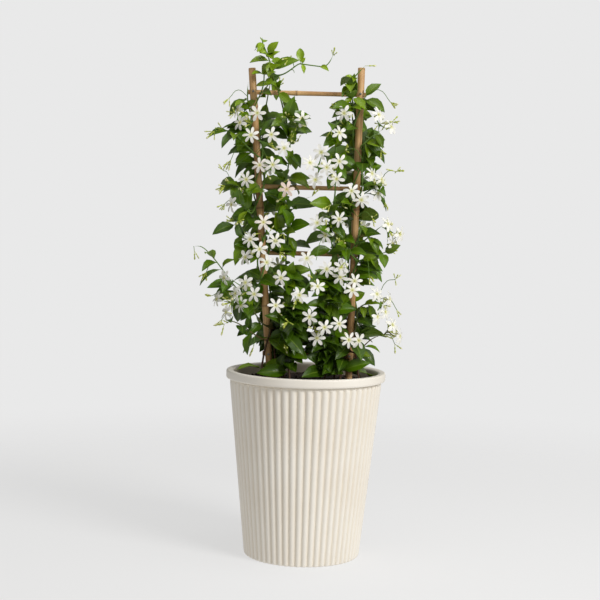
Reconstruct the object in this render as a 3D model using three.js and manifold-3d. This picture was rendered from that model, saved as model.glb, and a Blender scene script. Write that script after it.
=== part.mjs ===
// A star jasmine trained on a small bamboo ladder, in a fluted planter.
// Millimetres, +Z up. The origin is the middle of the planter's flat underside.

import * as THREE from 'three';
import { mergeVertices } from 'three/addons/utils/BufferGeometryUtils.js';
import Module from 'manifold-3d';

const wasm = await Module();
wasm.setup();

const radians = THREE.MathUtils.degToRad;

// Planter
const POT_HEIGHT = 262;
const RIM_RADIUS = 112.5;
const RIM_FACE = 12;
const RIM_ROUNDING = 2.4;
const LIP_WIDTH = 9;
const RIB_COUNT = 60;
const RIB_DEPTH = 2;
const RIB_SHOULDER = 0.22;
const RIB_CROWN = 0.1;
const RIB_TOP = 246;
const FOOT_RADIUS = 81.8;
const BODY_SLOPE = 0.1032;
const FOOT_ROUNDING = 2.2;
const COVE_RADIUS = 104.8;
const FLOOR_THICKNESS = 12;
const INNER_FOOT_RADIUS = 73;
const INNER_TOP_RADIUS = 101.4;
const LIP_ROUNDING = 4;
const LATHE_SIDES = 32;

// Soil
const SOIL_TOP = 248;
const SOIL_SIDES = 16;
const SOIL_SHOULDER = 24;
const SOIL_WALL_GAP = 2.2;
const HOLE_CLEARANCE = 0.8;
const CLEARANCE = 0.3;
const CUT_PAST = 0.01;

// Ladder: two stakes that lean apart, and four rungs fixed behind them
const STAKE_RADIUS = 5.25;
const STAKE_SIDES = 8;
const STAKE_DEPTH = 110;
const STAKE_NODE_SPACING = 140;
const FIRST_STAKE_NODE = 72;
const CANE_RING = 2.5;
const CANE_SWELL = 1.09;
const STAKES = {
  left: { foot: -50.7, lean: -0.0821, top: 684.5 },
  right: { foot: 60.7, lean: 0.0132, top: 688.5 },
};
const RUNG_RADIUS = 3.5;
const RUNG_SIDES = 6;
const RUNG_HEIGHTS = [284, 427, 520, 652];
const RUNG_OVERHANG = 3.5;
const RUNG_NODE_SPACING = 200;
const RUNG_DEPTH = STAKE_RADIUS + RUNG_RADIUS + CLEARANCE;
const NAIL_RADIUS = 0.9;
const NAIL_HEAD_RADIUS = 2;
const NAIL_HEAD_THICKNESS = 0.9;
const NAIL_PAST_RUNG = 1.5;

// Vines
const VINE_RADIUS = 1.9;
const NODE_HALF = 1.2;
const NODE_ROOM = 4.5;
const LEAST_FACING = 0.4;
const CORE_SHARE = 0.65;
const TOUCH = 0.00001;
const TWINE_RADIUS = 8.7;
const TWINE_STEP = 15;
const ROOT_DEPTH = 26;
const VINE_TIP_RADIUS = 1;
const SHOOT_RADIUS = 1.2;
const SHOOT_TIP_RADIUS = 0.8;
const STEM_ROOM = 0.42;
const LEAST_BEND = radians(20);
const SOIL_BEND = ROOT_DEPTH + 1;

// Leaves
const LEAF_THICKNESS = 1.4;
const LEAF_ASPECT = 0.48;
const LEAF_ARCH = 0.1;
const LEAF_FOLD = 0.22;
const FACES_OUT = 0.85;
const FACES_UP = 0.55;
const LARGE_LEAF = 46;
const SMALL_LEAF = 27;
const PAIR_SPACING = 46;
const FIRST_PAIR = 14;
const LEAF_ROOM = 0.35;
const REAR_SHOOT_SPACING = 150;
const FIRST_REAR_SHOOT = 40;
const BARE_TIP = 60;

// Blooms
const BLOOM_RADIUS = 12;
const PETAL_HALF_WIDTH = 2.9;
const NOTCH_RADIUS = 2.8;
const THROAT_DEPTH = 2.6;
const TUBE_LENGTH = 9;
const TUBE_RADIUS = 1.3;
const THROAT_RADIUS = 1.5;
const PETAL_DROOP = 0.9;
const BLOOM_CROWN = 0.6;
const MEAN_PETALS = 6;
const SEVEN_PETALS_SHARE = 0.3;
const STALK_RADIUS = 0.9;
const MOST_STALK_GAP = 5;
const STALK_STEP = 0.15;
const SETTLING_STEPS = 6;
const LEAST_FORK = radians(42);

const up = new THREE.Vector3(0, 0, 1);
const point = (x, y, z) => new THREE.Vector3(x, y, z);

// A repeatable draw between 0 and 1
let seed = 2024;
function draw() {
  seed = (Math.imul(seed, 1664525) + 1013904223) >>> 0;
  return seed / 4294967296;
}

// Solids

// Joins two rings of point numbers by triangles. Both run anticlockwise as seen from the
// way the body grows, and one may have a whole multiple of the other's points. A square
// is split along its shorter diagonal, so that a twisted body stays clear of itself.
// Faces named in open are left out, so that something can grow from them.
function stitch(points, triangles, below, above, open = []) {
  const wide = below.length > above.length;
  const [few, many] = wide ? [above, below] : [below, above];
  const ratio = many.length / few.length;
  const far = (i, j) => points[i].distanceTo(points[j]);
  few.forEach((a, i) => {
    if (open.includes(i)) return;
    const b = few[(i + 1) % few.length];
    for (let q = 0; q < ratio; q += 1) {
      const c = many[i * ratio + q];
      const d = many[(i * ratio + q + 1) % many.length];
      if (ratio === 1 && far(b, c) < far(a, d)) {
        triangles.push(a, b, c, b, d, c);
      } else {
        triangles.push(...(wide ? [c, d, a] : [a, d, c]));
        if (q === ratio - 1 && few.length > 1) triangles.push(...(wide ? [a, d, b] : [a, b, d]));
      }
    }
  });
}

// Joins rings of points into one closed body. A ring of one point closes an end.
function loft(rings) {
  let first = 0;
  const numbers = rings.map((ring) => {
    first += ring.length;
    return ring.map((_, k) => first - ring.length + k);
  });
  const points = rings.flat();
  const triangles = [];
  for (let r = 0; r + 1 < rings.length; r += 1) {
    stitch(points, triangles, numbers[r], numbers[r + 1]);
  }
  return new THREE.BufferGeometry().setFromPoints(points).setIndex(triangles);
}

function toSolid(geometry) {
  const bare = geometry.clone();
  bare.deleteAttribute('normal');
  bare.deleteAttribute('uv');
  const merged = mergeVertices(bare, 1e-4);
  const triangles = [];
  for (let i = 0; i < merged.index.count; i += 3) {
    const [a, b, c] = [0, 1, 2].map((k) => merged.index.getX(i + k));
    if (a !== b && b !== c && c !== a) triangles.push(a, b, c);
  }
  return new wasm.Manifold(new wasm.Mesh({
    numProp: 3,
    vertProperties: Float32Array.from(merged.attributes.position.array),
    triVerts: Uint32Array.from(triangles),
  }));
}

function toGeometry(solid) {
  const mesh = solid.getMesh();
  const geometry = new THREE.BufferGeometry();
  geometry.setAttribute('position', new THREE.BufferAttribute(mesh.vertProperties, 3));
  geometry.setIndex(new THREE.BufferAttribute(mesh.triVerts, 1));
  return geometry;
}

// Turns a profile of [radius, height] pairs about the Z axis
function turned(profile, sides) {
  const outline = profile.map(([radius, height]) => new THREE.Vector2(radius, height));
  return new THREE.LatheGeometry(outline, sides).rotateX(Math.PI / 2);
}

// A tube through points, with a radius at each, that ends in two shallow tips
function tube(points, radii, sides, tip = 0.6) {
  const last = points.length - 1;
  const headings = points.map((p, i) => points[Math.min(i + 1, last)].clone()
    .sub(points[Math.max(i - 1, 0)]).normalize());
  let across = new THREE.Vector3(1, 0, 0);
  if (Math.abs(headings[0].x) > 0.8) across.set(0, 1, 0);
  const rings = points.map((p, i) => {
    across = across.clone().addScaledVector(headings[i], -across.dot(headings[i])).normalize();
    const other = headings[i].clone().cross(across);
    return Array.from({ length: sides }, (_, k) => {
      const turn = (2 * Math.PI * k) / sides;
      return p.clone().addScaledVector(across, radii[i] * Math.cos(turn))
        .addScaledVector(other, radii[i] * Math.sin(turn));
    });
  });
  const tail = points[0].clone().addScaledVector(headings[0], -tip);
  const head = points[last].clone().addScaledVector(headings[last], tip);
  return loft([[tail], ...rings, [head]]);
}

const parts = new THREE.Group();

function addPart(name, geometry, colour, roughness, metalness = 0) {
  const material = new THREE.MeshStandardMaterial({ color: colour, roughness, metalness });
  const mesh = new THREE.Mesh(geometry, material);
  mesh.name = name;
  parts.add(mesh);
}

// Planter

function ribRing(height, radius, depth) {
  const pitch = (2 * Math.PI) / RIB_COUNT;
  return Array.from({ length: RIB_COUNT }, (_, rib) => [
    [0, radius - depth],
    [RIB_SHOULDER, radius - RIB_CROWN * depth],
    [1 - RIB_SHOULDER, radius - RIB_CROWN * depth],
  ].map(([share, r]) => {
    const turn = (rib + share) * pitch;
    return point(r * Math.cos(turn), r * Math.sin(turn), height);
  })).flat();
}

function roundRing(height, radius) {
  return Array.from({ length: RIB_COUNT }, (_, rib) => {
    const turn = (2 * Math.PI * rib) / RIB_COUNT;
    return point(radius * Math.cos(turn), radius * Math.sin(turn), height);
  });
}

const bodyRadius = (height) => FOOT_RADIUS + BODY_SLOPE * height;

function potSolid() {
  const shoulder = RIB_TOP - FOOT_ROUNDING;
  const body = toSolid(loft([
    [point(0, 0, 0)],
    roundRing(0, FOOT_RADIUS - FOOT_ROUNDING - RIB_DEPTH),
    ribRing(FOOT_ROUNDING, bodyRadius(FOOT_ROUNDING), RIB_DEPTH),
    ribRing(shoulder, bodyRadius(shoulder), RIB_DEPTH),
    roundRing(RIB_TOP, COVE_RADIUS - 0.4),
    [point(0, 0, RIB_TOP)],
  ]));
  const rimFoot = POT_HEIGHT - RIM_FACE;
  const rim = toSolid(turned([
    [0, shoulder],
    [COVE_RADIUS, shoulder],
    [COVE_RADIUS, rimFoot],
    [RIM_RADIUS - RIM_ROUNDING, rimFoot],
    [RIM_RADIUS, rimFoot + RIM_ROUNDING],
    [RIM_RADIUS, POT_HEIGHT - RIM_ROUNDING],
    [RIM_RADIUS - RIM_ROUNDING, POT_HEIGHT],
    [0, POT_HEIGHT],
  ], LATHE_SIDES));
  const mouth = RIM_RADIUS - LIP_WIDTH;
  const cavity = toSolid(turned([
    [0, FLOOR_THICKNESS],
    [INNER_FOOT_RADIUS, FLOOR_THICKNESS],
    [INNER_TOP_RADIUS, POT_HEIGHT - LIP_ROUNDING],
    [mouth, POT_HEIGHT + CUT_PAST],
    [0, POT_HEIGHT + CUT_PAST],
  ], LATHE_SIDES));
  return body.add(rim).subtract(cavity);
}

// Ladder

const stakeAt = (side, height) => point(
  STAKES[side].foot + STAKES[side].lean * (height - SOIL_TOP), 0, height);

function bambooTube(start, end, radius, sides, spacing, first) {
  const axis = end.clone().sub(start);
  const length = axis.length();
  const stations = [[0, radius]];
  for (let s = first; s < length - 5 * CANE_RING; s += spacing) {
    stations.push([s - CANE_RING, radius], [s, radius * CANE_SWELL], [s + CANE_RING, radius]);
  }
  stations.push([length, radius]);
  const points = stations.map(([s]) => start.clone().addScaledVector(axis, s / length));
  return tube(points, stations.map(([, r]) => r), sides, 0);
}

const ladder = {};
const nails = {};
const nailAxes = [];

for (const side of Object.keys(STAKES)) {
  for (const [k, height] of RUNG_HEIGHTS.entries()) {
    const centre = stakeAt(side, height);
    nailAxes.push({ name: `nail_${side}_${k + 1}`, side, rung: k + 1, centre });
  }
}

function nailTube(centre, grow) {
  const front = -STAKE_RADIUS - CLEARANCE - NAIL_HEAD_THICKNESS;
  const neck = front + NAIL_HEAD_THICKNESS;
  const end = RUNG_DEPTH + NAIL_PAST_RUNG;
  const stations = [
    [front, NAIL_HEAD_RADIUS + grow],
    [neck, NAIL_HEAD_RADIUS + grow],
    [neck + CUT_PAST, NAIL_RADIUS + grow],
    [end + grow, NAIL_RADIUS + grow],
  ];
  const points = stations.map(([y]) => centre.clone().setY(y));
  return tube(points, stations.map(([, r]) => r), 4, 0.3);
}

// Room: what has been placed so far, so that each new piece is set clear of it

const placed = [];

function place(owner, kind, solid) {
  placed.push({ owner, kind, solid, box: solid.boundingBox() });
}

function apart(a, b) {
  return [0, 1, 2].some((k) => a.max[k] < b.min[k] || b.max[k] < a.min[k]);
}

function crosses(solid, wanted, least = 0) {
  const box = solid.boundingBox();
  return placed.some((item) => wanted(item) && !apart(box, item.box)
    && solid.intersect(item.solid).volume() > least);
}

// Paths are lists of points, a few millimetres apart

function smooth(points, perSpan) {
  const curve = new THREE.CatmullRomCurve3(points, false, 'catmullrom', 0.5);
  const count = (points.length - 1) * perSpan;
  return Array.from({ length: count + 1 }, (_, i) => curve.getPoint(i / count));
}

function pathLength(path) {
  let length = 0;
  for (let i = 1; i < path.length; i += 1) length += path[i].distanceTo(path[i - 1]);
  return length;
}

function along(path, distance) {
  let left = distance;
  for (let i = 1; i < path.length; i += 1) {
    const step = path[i].distanceTo(path[i - 1]);
    if (left <= step || i === path.length - 1) {
      return path[i - 1].clone().lerp(path[i], Math.min(left / step, 1));
    }
    left -= step;
  }
  return path[0].clone();
}

// How far along a path its nearest point to a target lies
function distanceOn(path, target) {
  let best = { at: 0, far: Infinity };
  let at = 0;
  for (let i = 1; i < path.length; i += 1) {
    const line = new THREE.Line3(path[i - 1], path[i]);
    const share = line.closestPointToPointParameter(target, true);
    const far = line.at(share, point()).distanceTo(target);
    if (far < best.far) best = { at: at + share * line.distance(), far };
    at += line.distance();
  }
  return best.at;
}

function nearestOn(path, target) {
  let best = path[0];
  for (let i = 1; i < path.length; i += 1) {
    const line = new THREE.Line3(path[i - 1], path[i]);
    const candidate = line.closestPointToPoint(target, true, point());
    if (candidate.distanceTo(target) < best.distanceTo(target)) best = candidate;
  }
  return best.clone();
}

// The way out of the plant, level, from the ladder between its stakes
function outward(p) {
  const low = stakeAt('left', p.z).x;
  const high = stakeAt('right', p.z).x;
  const way = point(p.x - Math.min(Math.max(p.x, low), high), 1.2 * p.y, 0);
  return way.length() < 1 ? point(0, -1, 0) : way.normalize();
}

// Vines. A twined vine makes one turn about its stake from each rung to the next and
// passes every rung at the front. A free vine passes its rungs in front or behind.

const PAST_RUNG = 1.1 * RUNG_RADIUS + VINE_RADIUS + 0.5;
const FRONT = RUNG_DEPTH - PAST_RUNG;
const BACK = RUNG_DEPTH + PAST_RUNG;

const VINES = {
  left_front: {
    side: 'left', phase: -50, top: 640,
    tail: [[-92, -5, 650], [-91, -8, 664]],
  },
  left_back: {
    side: 'left', phase: 62, top: 628,
    tail: [[-74, -11, 646], [-69, -11, 660], [-69, -10, 674]],
  },
  right_front: {
    side: 'right', phase: -50, top: 625,
    tail: [[54, -10, 646], [52, -10, 660], [55, -10, 672], [63, -10, 682], [72, -10, 691]],
  },
  right_back: {
    side: 'right', phase: 62, top: 632,
    tail: [[71, -11, 645], [76, -10, 655]],
  },
  mid_left: {
    points: [[-22, -16, SOIL_TOP], [-26, FRONT, 284], [-21, -12, 330], [-30, -12, 385],
      [-33, FRONT, 427], [-28, -10, 470], [-36, FRONT, 520], [-30, -12, 565], [-35, -12, 605],
      [-48, FRONT, 652], [-57, -9, 681], [-66, -10, 704], [-72, -10, 718], [-73, -10, 726]],
  },
  mid_right: {
    points: [[26, -16, SOIL_TOP], [30, FRONT, 284], [24, -12, 335], [30, -12, 385],
      [34, FRONT, 427], [28, -12, 470], [36, FRONT, 520], [30, -12, 555], [36, -12, 590],
      [31, -16, 628]],
  },
  back_left: {
    points: [[-30, 24, SOIL_TOP], [-36, BACK, 284], [-48, 27, 340], [-57, 27, 385],
      [-60, BACK, 427], [-70, 27, 475], [-72, BACK, 520], [-76, 27, 570], [-70, 25, 610],
      [-64, BACK, 652], [-60, 16, 668]],
  },
  back_right: {
    points: [[40, 26, SOIL_TOP], [46, BACK, 284], [56, 27, 340], [58, 27, 385],
      [56, BACK, 427], [64, 27, 475], [60, BACK, 520], [66, 27, 570], [58, 25, 610],
      [52, BACK, 652], [48, 16, 664]],
  },
};

function turnsAt(height) {
  const rungs = RUNG_HEIGHTS;
  if (height <= rungs[0]) return 0;
  let k = 0;
  while (k < rungs.length - 2 && height > rungs[k + 1]) k += 1;
  return k + (height - rungs[k]) / (rungs[k + 1] - rungs[k]);
}

function vinePath({ side, phase, top, tail, points }) {
  if (points) {
    const curve = smooth(points.map((p) => point(...p)), 2);
    return [curve[0].clone().setZ(SOIL_TOP - ROOT_DEPTH), ...curve];
  }
  const path = [];
  const steps = Math.round((top - SOIL_TOP) / TWINE_STEP);
  for (let i = 0; i <= steps; i += 1) {
    const height = SOIL_TOP + ((top - SOIL_TOP) * i) / steps;
    const flare = Math.max(0, (RUNG_HEIGHTS[0] - height) / 4);
    const turn = radians(phase + 360 * turnsAt(height));
    const reach = TWINE_RADIUS + flare;
    path.push(stakeAt(side, height).add(point(
      reach * Math.sin(turn), -reach * Math.cos(turn), 0)));
  }
  path.push(...tail.map((p) => point(...p)));
  return [path[0].clone().setZ(SOIL_TOP - ROOT_DEPTH), ...path];
}

// Side shoots seen from the front: the vine, the points after the root on the vine, and
// the leaf pairs, each with its share of the shoot and the ways to the leaves' tips

const SHOOTS = [
  ['left_front', [[-62, -18, 324], [-82, -20, 356], [-106, -20, 384], [-129, -20, 414],
    [-148, -20, 435], [-161, -20, 434]],
  [[0.42, [20, -8, 21]], [0.54, [-15, -6, 2], [13, -8, 23]], [0.68, [-30, -6, -24],
    [17, -6, 15]]]],
  ['left_front', [[-80, -15, 436], [-99, -15, 457], [-107, -15, 470]],
    [[0.78, [-18, -6, -27], [-9, -8, 37]], [0.5, [11, -8, 20]]]],
  ['left_back', [[-84, -15, 510], [-98, -15, 518], [-112, -15, 522]],
    [[0.5, [-6, -8, -19], [4, -8, 24]]]],
  ['left_back', [[-81, -20, 480], [-93, -22, 491], [-105, -22, 495]],
    [[0.55, [-10, -10, 18], [-12, -8, -20]]]],
  ['left_front', [[-82, -15, 567], [-99, -15, 584], [-113, -15, 595], [-126, -15, 598]],
    [[0.25, [-23, -8, -20], [-23, -6, 30]], [0.55, [-22, -6, -19]]]],
  ['left_front', [[-61, -16, 302], [-87, -18, 316], [-104, -18, 327], [-121, -18, 335],
    [-134, -18, 329]],
  [[0.45, [-12, -8, -28]], [0.6, [-6, -8, 18]], [0.82, [-25, -6, -10]]]],
  ['left_back', [[-73, -26, 348], [-87, -28, 358], [-104, -28, 361]],
    [[0.3, [-29, -10, -20], [-9, -10, -23]], [0.55, [-14, -8, 11], [-14, -10, -16]]]],
  ['right_front', [[66, -14, 578], [74, -15, 584], [86, -15, 596], [97, -15, 602]],
    [[0.42, [8, -8, -22], [-9, -8, 21]], [0.7, [38, -6, -16]]]],
  ['right_front', [[69, -15, 509], [83, -15, 519], [95, -15, 525]],
    [[0.55, [32, -6, -21], [13, -8, 23]]]],
  ['right_back', [[66, -20, 481]], [[0.8, [35, -6, -2], [-10, -8, 19]]]],
  ['right_front', [[76, -15, 447], [93, -15, 463], [103, -15, 471]],
    [[0.4, [22, -6, -15], [-12, -8, 18]]]],
  ['right_back', [[72, -18, 420], [85, -20, 427], [103, -20, 431], [113, -18, 435]],
    [[0.42, [17, -8, -11], [15, -8, -27]], [0.78, [26, -6, -28]]]],
  ['right_front', [[76, -18, 357], [90, -18, 364], [98, -18, 366]],
    [[0.45, [13, -8, -16], [8, -8, 23]], [0.75, [17, -8, -9]]]],
  ['right_front', [[68, -25, 341]], [[0.85, [26, -6, -25], [13, -10, 2]]]],
  ['right_front', [[70, -18, 290], [79, -18, 299], [91, -18, 312], [107, -18, 317]],
    [[0.28, [20, -8, -3], [-9, -10, 18]], [0.5, [24, -6, -6], [14, -6, 12]]]],
  ['left_back', [[-70, -12, 684]], [[0.5, [-30, -4, 8], [17, -6, 27]], [0.85, [-6, -8, 26]]]],
  ['mid_left', [[-40, -12, 675], [-22, -12, 691], [-5, -12, 689], [15, -12, 687],
    [22, -12, 694], [26, -12, 704]],
  [[0.46, [4, -3, 9], [4, -4, -13]], [0.72, [15, -4, -6]]]],
  ['mid_left', [[-50, -16, 650], [-47, -20, 660]], [[0.85, [35, -8, -6], [-13, -8, 9]]]],
  ['mid_left', [[-35, -24, 617]], [[0.85, [32, -8, 25], [-20, -8, 10]]]],
  ['mid_left', [[-30, -30, 586]], [[0.85, [40, -8, -14], [8, -10, 26]]]],
  ['mid_left', [[-40, -28, 524]], [[0.85, [37, -8, 5], [-14, -8, 11]], [0.6, [24, -10, -20]]]],
  ['mid_left', [[3, -20, 508]], [[0.9, [-9, -6, -12], [14, -6, 10]]]],
  ['mid_right', [[26, -22, 599]], [[0.85, [-17, -8, -24], [-32, -8, 14]]]],
  ['mid_right', [[46, -28, 571]], [[0.85, [-21, -8, 4], [16, -8, 11]]]],
  ['right_front', [[52, -20, 626]], [[0.55, [19, -10, -4]], [0.85, [22, -8, 7]]]],
  ['mid_left', [[-36, -28, 455]], [[0.5, [24, -8, 20]], [0.85, [-8, -10, 34], [9, -10, 35]]]],
  ['mid_right', [[38, -24, 450]], [[0.85, [-30, -8, -8], [8, -10, 17]]]],
  ['mid_right', [[44, -24, 496]], [[0.85, [-30, -8, -13], [-13, -10, 18]]]],
  ['mid_left', [[-30, -34, 318], [-31, -40, 301]],
    [[0.5, [-4, -8, -22]], [0.85, [26, -8, -34], [16, -10, 10]]]],
  ['mid_left', [[-22, -34, 394]], [[0.6, [17, -10, -15]], [0.85, [29, -8, 13],
    [-16, -10, 26]]]],
];

// Leaves on the vines' own young tips: the vine, the height and the ways to the tips
const TIP_LEAVES = [
  ['mid_left', 681, [36, -6, 14]], ['mid_left', 707, [16, -4, 16], [-14, -4, 4]],
  ['mid_left', 718, [-10, -4, -7]], ['right_front', 674, [-11, -5, 4], [14, -5, 3]],
  ['right_front', 650, [-11, -6, -10]], ['mid_right', 618, [-8, -10, 23], [8, -8, 19]],
];

// Sprays: the vine, the point where the stalk forks, and the heart of each bloom
const SPRAYS = [
  ['left_front', [-84, -26, 606], [[-76, -42, 619], [-104, -20, 624], [-100, -32, 606]]],
  ['left_front', [-62, -28, 578], [[-84, -38, 589], [-56, -44, 590], [-38, -42, 572]]],
  ['mid_left', [-22, -26, 604], [[-15, -38, 613]]],
  ['left_back', [-63, -28, 538], [[-71, -42, 548], [-53, -42, 549]]],
  ['left_back', [-92, -28, 508], [[-89, -40, 528], [-109, -34, 493]]],
  ['mid_right', [44, -26, 606], [[37, -42, 595], [43, -38, 622]]],
  ['mid_right', [10, -30, 546], [[6, -42, 530], [13, -40, 568], [-2, -40, 553]]],
  ['mid_right', [30, -30, 542], [[21, -50, 547], [38, -46, 556], [35, -40, 532]]],
  ['right_front', [60, -28, 506], [[56, -42, 516], [70, -36, 504]]],
  ['mid_left', [-36, -28, 506], [[-33, -40, 516]]],
  ['right_front', [92, -18, 610], [[91, -28, 622], [109, -24, 606]]],
  ['right_front', [90, -24, 521], [[98, -22, 533], [93, -36, 514], [84, -28, 541]]],
  ['left_front', [-57, -28, 455], [[-64, -42, 470], [-47, -42, 445]]],
  ['mid_left', [-48, -28, 400], [[-58, -42, 415], [-38, -44, 394]]],
  ['mid_right', [24, -26, 467], [[40, -38, 477], [10, -38, 471], [22, -34, 454]]],
  ['mid_right', [8, -30, 392], [[-3, -42, 422], [25, -44, 408], [13, -48, 384],
    [-12, -44, 371]]],
  ['right_front', [50, -28, 394], [[44, -42, 397], [37, -38, 411], [64, -38, 392],
    [70, -34, 380]]],
  ['left_back', [-82, -28, 374], [[-87, -38, 386], [-74, -48, 371], [-98, -40, 392]]],
  ['mid_left', [-42, -32, 346], [[-44, -46, 356]]],
  ['mid_right', [10, -38, 324], [[3, -54, 342], [24, -52, 328], [14, -42, 312]]],
  ['right_front', [56, -32, 316], [[44, -46, 333], [58, -46, 311], [72, -40, 310]]],
  ['left_back', [-106, -37, 358], [[-112, -50, 345], [-126, -34, 362], [-100, -44, 371],
    [-92, -42, 355]]],
  ['left_back', [-76, -24, 430], [[-82, -34, 446], [-68, -40, 433], [-88, -34, 421]]],
  ['right_front', [110, -20, 464], [[108, -32, 472], [121, -22, 458], [116, -22, 445]]],
  ['right_front', [104, -24, 359], [[90, -32, 375], [108, -32, 350], [114, -24, 368],
    [97, -38, 345]]],
  ['right_front', [113, -22, 322], [[119, -28, 332], [130, -22, 316]]],
  ['back_left', [-72, 38, 604], [[-64, 50, 613], [-72, 56, 588]]],
  ['back_left', [-74, 40, 545], [[-62, 50, 549], [-86, 46, 556]]],
  ['back_left', [-70, 40, 482], [[-58, 48, 490], [-82, 48, 476]]],
  ['back_left', [-56, 40, 400], [[-44, 50, 408], [-70, 48, 396]]],
  ['back_left', [-44, 40, 330], [[-32, 50, 340], [-58, 48, 326]]],
  ['back_right', [64, 38, 596], [[54, 50, 604], [76, 46, 592]]],
  ['back_right', [62, 40, 538], [[50, 48, 544], [74, 48, 534]]],
  ['back_right', [64, 40, 470], [[54, 50, 480], [78, 46, 466]]],
  ['back_right', [58, 40, 400], [[46, 50, 406], [72, 48, 396]]],
  ['back_right', [56, 40, 332], [[42, 50, 336], [70, 48, 326]]],
];

// Leaf: a thin blade folded along its midrib and arched over the line from root to tip

const spotPast = (p, way, distance) => p.clone().addScaledVector(way, distance);

function leafRings({ root, reach, face, roll }, grow = 0) {
  const length = reach.length();
  const way = reach.clone().normalize();
  const normal = face.clone().addScaledVector(way, -face.dot(way)).normalize()
    .applyAxisAngle(way, roll);
  const side = normal.clone().cross(way);
  let stations = [[0.3, 0.92], [0.68, 0.84]];
  if (length > LARGE_LEAF) stations = [[0.24, 0.8], [0.52, 1], [0.8, 0.56]];
  if (length < SMALL_LEAF) stations = [[0.45, 1]];
  const rings = stations.map(([share, width]) => {
    const middle = spotPast(root, reach, share)
      .addScaledVector(normal, LEAF_ARCH * length * 4 * share * (1 - share));
    const half = (width * LEAF_ASPECT * length) / 2 + grow;
    const lift = LEAF_FOLD * half;
    const skin = LEAF_THICKNESS / 2 + grow;
    return [
      spotPast(middle, side, half).addScaledVector(normal, lift),
      spotPast(middle, normal, skin),
      spotPast(middle, side, -half).addScaledVector(normal, lift),
      spotPast(middle, normal, -skin),
    ];
  });
  return [...rings, [spotPast(root, reach, 1).addScaledVector(way, grow)]];
}

// How far to shift a face's corners round so that they best meet those of the next ring
function bestShift(corners, next) {
  const centred = (points) => {
    const middle = middleOf(points);
    return points.map((p) => p.clone().sub(middle).normalize());
  };
  const from = centred(corners);
  const to = centred(next);
  const misfit = (shift) => to.reduce((sum, p, k) => sum
    + p.distanceToSquared(from[(k + shift) % from.length]), 0);
  return corners.map((_, k) => k).sort((c, d) => misfit(c) - misfit(d))[0];
}

// The body of something that grows from the corners of a face, closed at a point behind
function grownBody(back, corners, rings) {
  const shift = bestShift(corners, rings[0]);
  const foot = corners.map((_, k) => corners[(k + shift) % corners.length]);
  return toSolid(loft([[back], foot, ...rings]));
}

function middleOf(points) {
  return points.reduce((sum, p) => sum.add(p), point(0, 0, 0)).divideScalar(points.length);
}

function leafSpec(root, reach, roll) {
  const middle = spotPast(root, reach, 0.5);
  const face = outward(middle).multiplyScalar(FACES_OUT).addScaledVector(up, FACES_UP);
  return { root, reach, face, roll };
}

// Bloom: blunt strap petals round a throat, on a slim tube above its calyx

function bloomRings({ heart, facing, turn, petals }, grow = 0) {
  const across = up.clone().addScaledVector(facing, -up.dot(facing)).normalize()
    .applyAxisAngle(facing, turn);
  const other = facing.clone().cross(across);
  const spot = (angle, radius, height) => spotPast(heart, facing, height)
    .addScaledVector(across, radius * Math.cos(angle))
    .addScaledVector(other, radius * Math.sin(angle));
  const half = Math.asin((PETAL_HALF_WIDTH * (MEAN_PETALS / petals)) / BLOOM_RADIUS);
  const outline = Array.from({ length: petals }, (_, k) => {
    const middle = (2 * Math.PI * (k + 0.5)) / petals;
    return [
      spot(middle - Math.PI / petals, NOTCH_RADIUS + grow, 0),
      spot(middle - half, BLOOM_RADIUS + grow, -PETAL_DROOP),
      spot(middle + half, BLOOM_RADIUS + grow, -PETAL_DROOP),
    ];
  }).flat();
  const triple = (height, radius) => [0, 1, 2].map((k) => spot(
    (2 * Math.PI * k) / 3, radius + grow, height));
  return [
    triple(-TUBE_LENGTH, TUBE_RADIUS),
    triple(-THROAT_DEPTH - grow, THROAT_RADIUS),
    outline,
    [spot(0, 0, BLOOM_CROWN + grow)],
  ];
}

function starRoom(spec, grow) {
  const [, throat, outline, top] = bloomRings(spec, grow);
  const back = spotPast(spec.heart, spec.facing, -THROAT_DEPTH - 2);
  return toSolid(loft([[back], throat, outline, top]));
}

// A mesh under growth. A stem leaves faces open, and shoots, leaves and blooms grow on
// from them, so that each plant part is one closed body.
class Growth {
  points = [];

  triangles = [];

  owners = [];

  ring(points) {
    const first = this.points.length;
    this.points.push(...points);
    return points.map((_, k) => first + k);
  }

  matched(face, next) {
    const shift = bestShift(face.map((i) => this.points[i]), next);
    return face.map((_, k) => face[(k + shift) % face.length]);
  }

  grow(face, rings, owner = null) {
    const first = this.triangles.length / 3;
    let below = this.matched(face, rings[0]);
    for (const ring of rings) {
      const above = this.ring(ring);
      stitch(this.points, this.triangles, below, above);
      below = above;
    }
    for (let t = first; t < this.triangles.length / 3; t += 1) this.owners[t] = owner;
  }

  // The first owner of a face that an edge of another face runs through
  crossedOwner() {
    const faces = [];
    for (let t = 0; t < this.triangles.length; t += 3) {
      const numbers = this.triangles.slice(t, t + 3);
      const corners = numbers.map((i) => this.points[i]);
      const box = new THREE.Box3().setFromPoints(corners);
      faces.push({ numbers, corners, box, owner: this.owners[t / 3] });
    }
    const pierces = (edges, face) => edges.numbers.some((a, k) => {
      const b = edges.numbers[(k + 1) % 3];
      if (face.numbers.includes(a) || face.numbers.includes(b)) return false;
      const way = this.points[b].clone().sub(this.points[a]);
      const ray = new THREE.Ray(this.points[a], way.clone().normalize());
      const hit = ray.intersectTriangle(...face.corners, false, point(0, 0, 0));
      return hit !== null && hit.distanceTo(this.points[a]) < way.length();
    });
    for (const face of faces.filter(({ owner }) => owner)) {
      const near = faces.filter(({ box }) => box.intersectsBox(face.box));
      if (near.some((other) => pierces(other, face) || pierces(face, other))) return face.owner;
    }
    return null;
  }

  solid() {
    return toSolid(new THREE.BufferGeometry().setFromPoints(this.points)
      .setIndex(this.triangles));
  }
}

// Stems. A node is a short straight stretch of four faces, square to what grows there.

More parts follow.
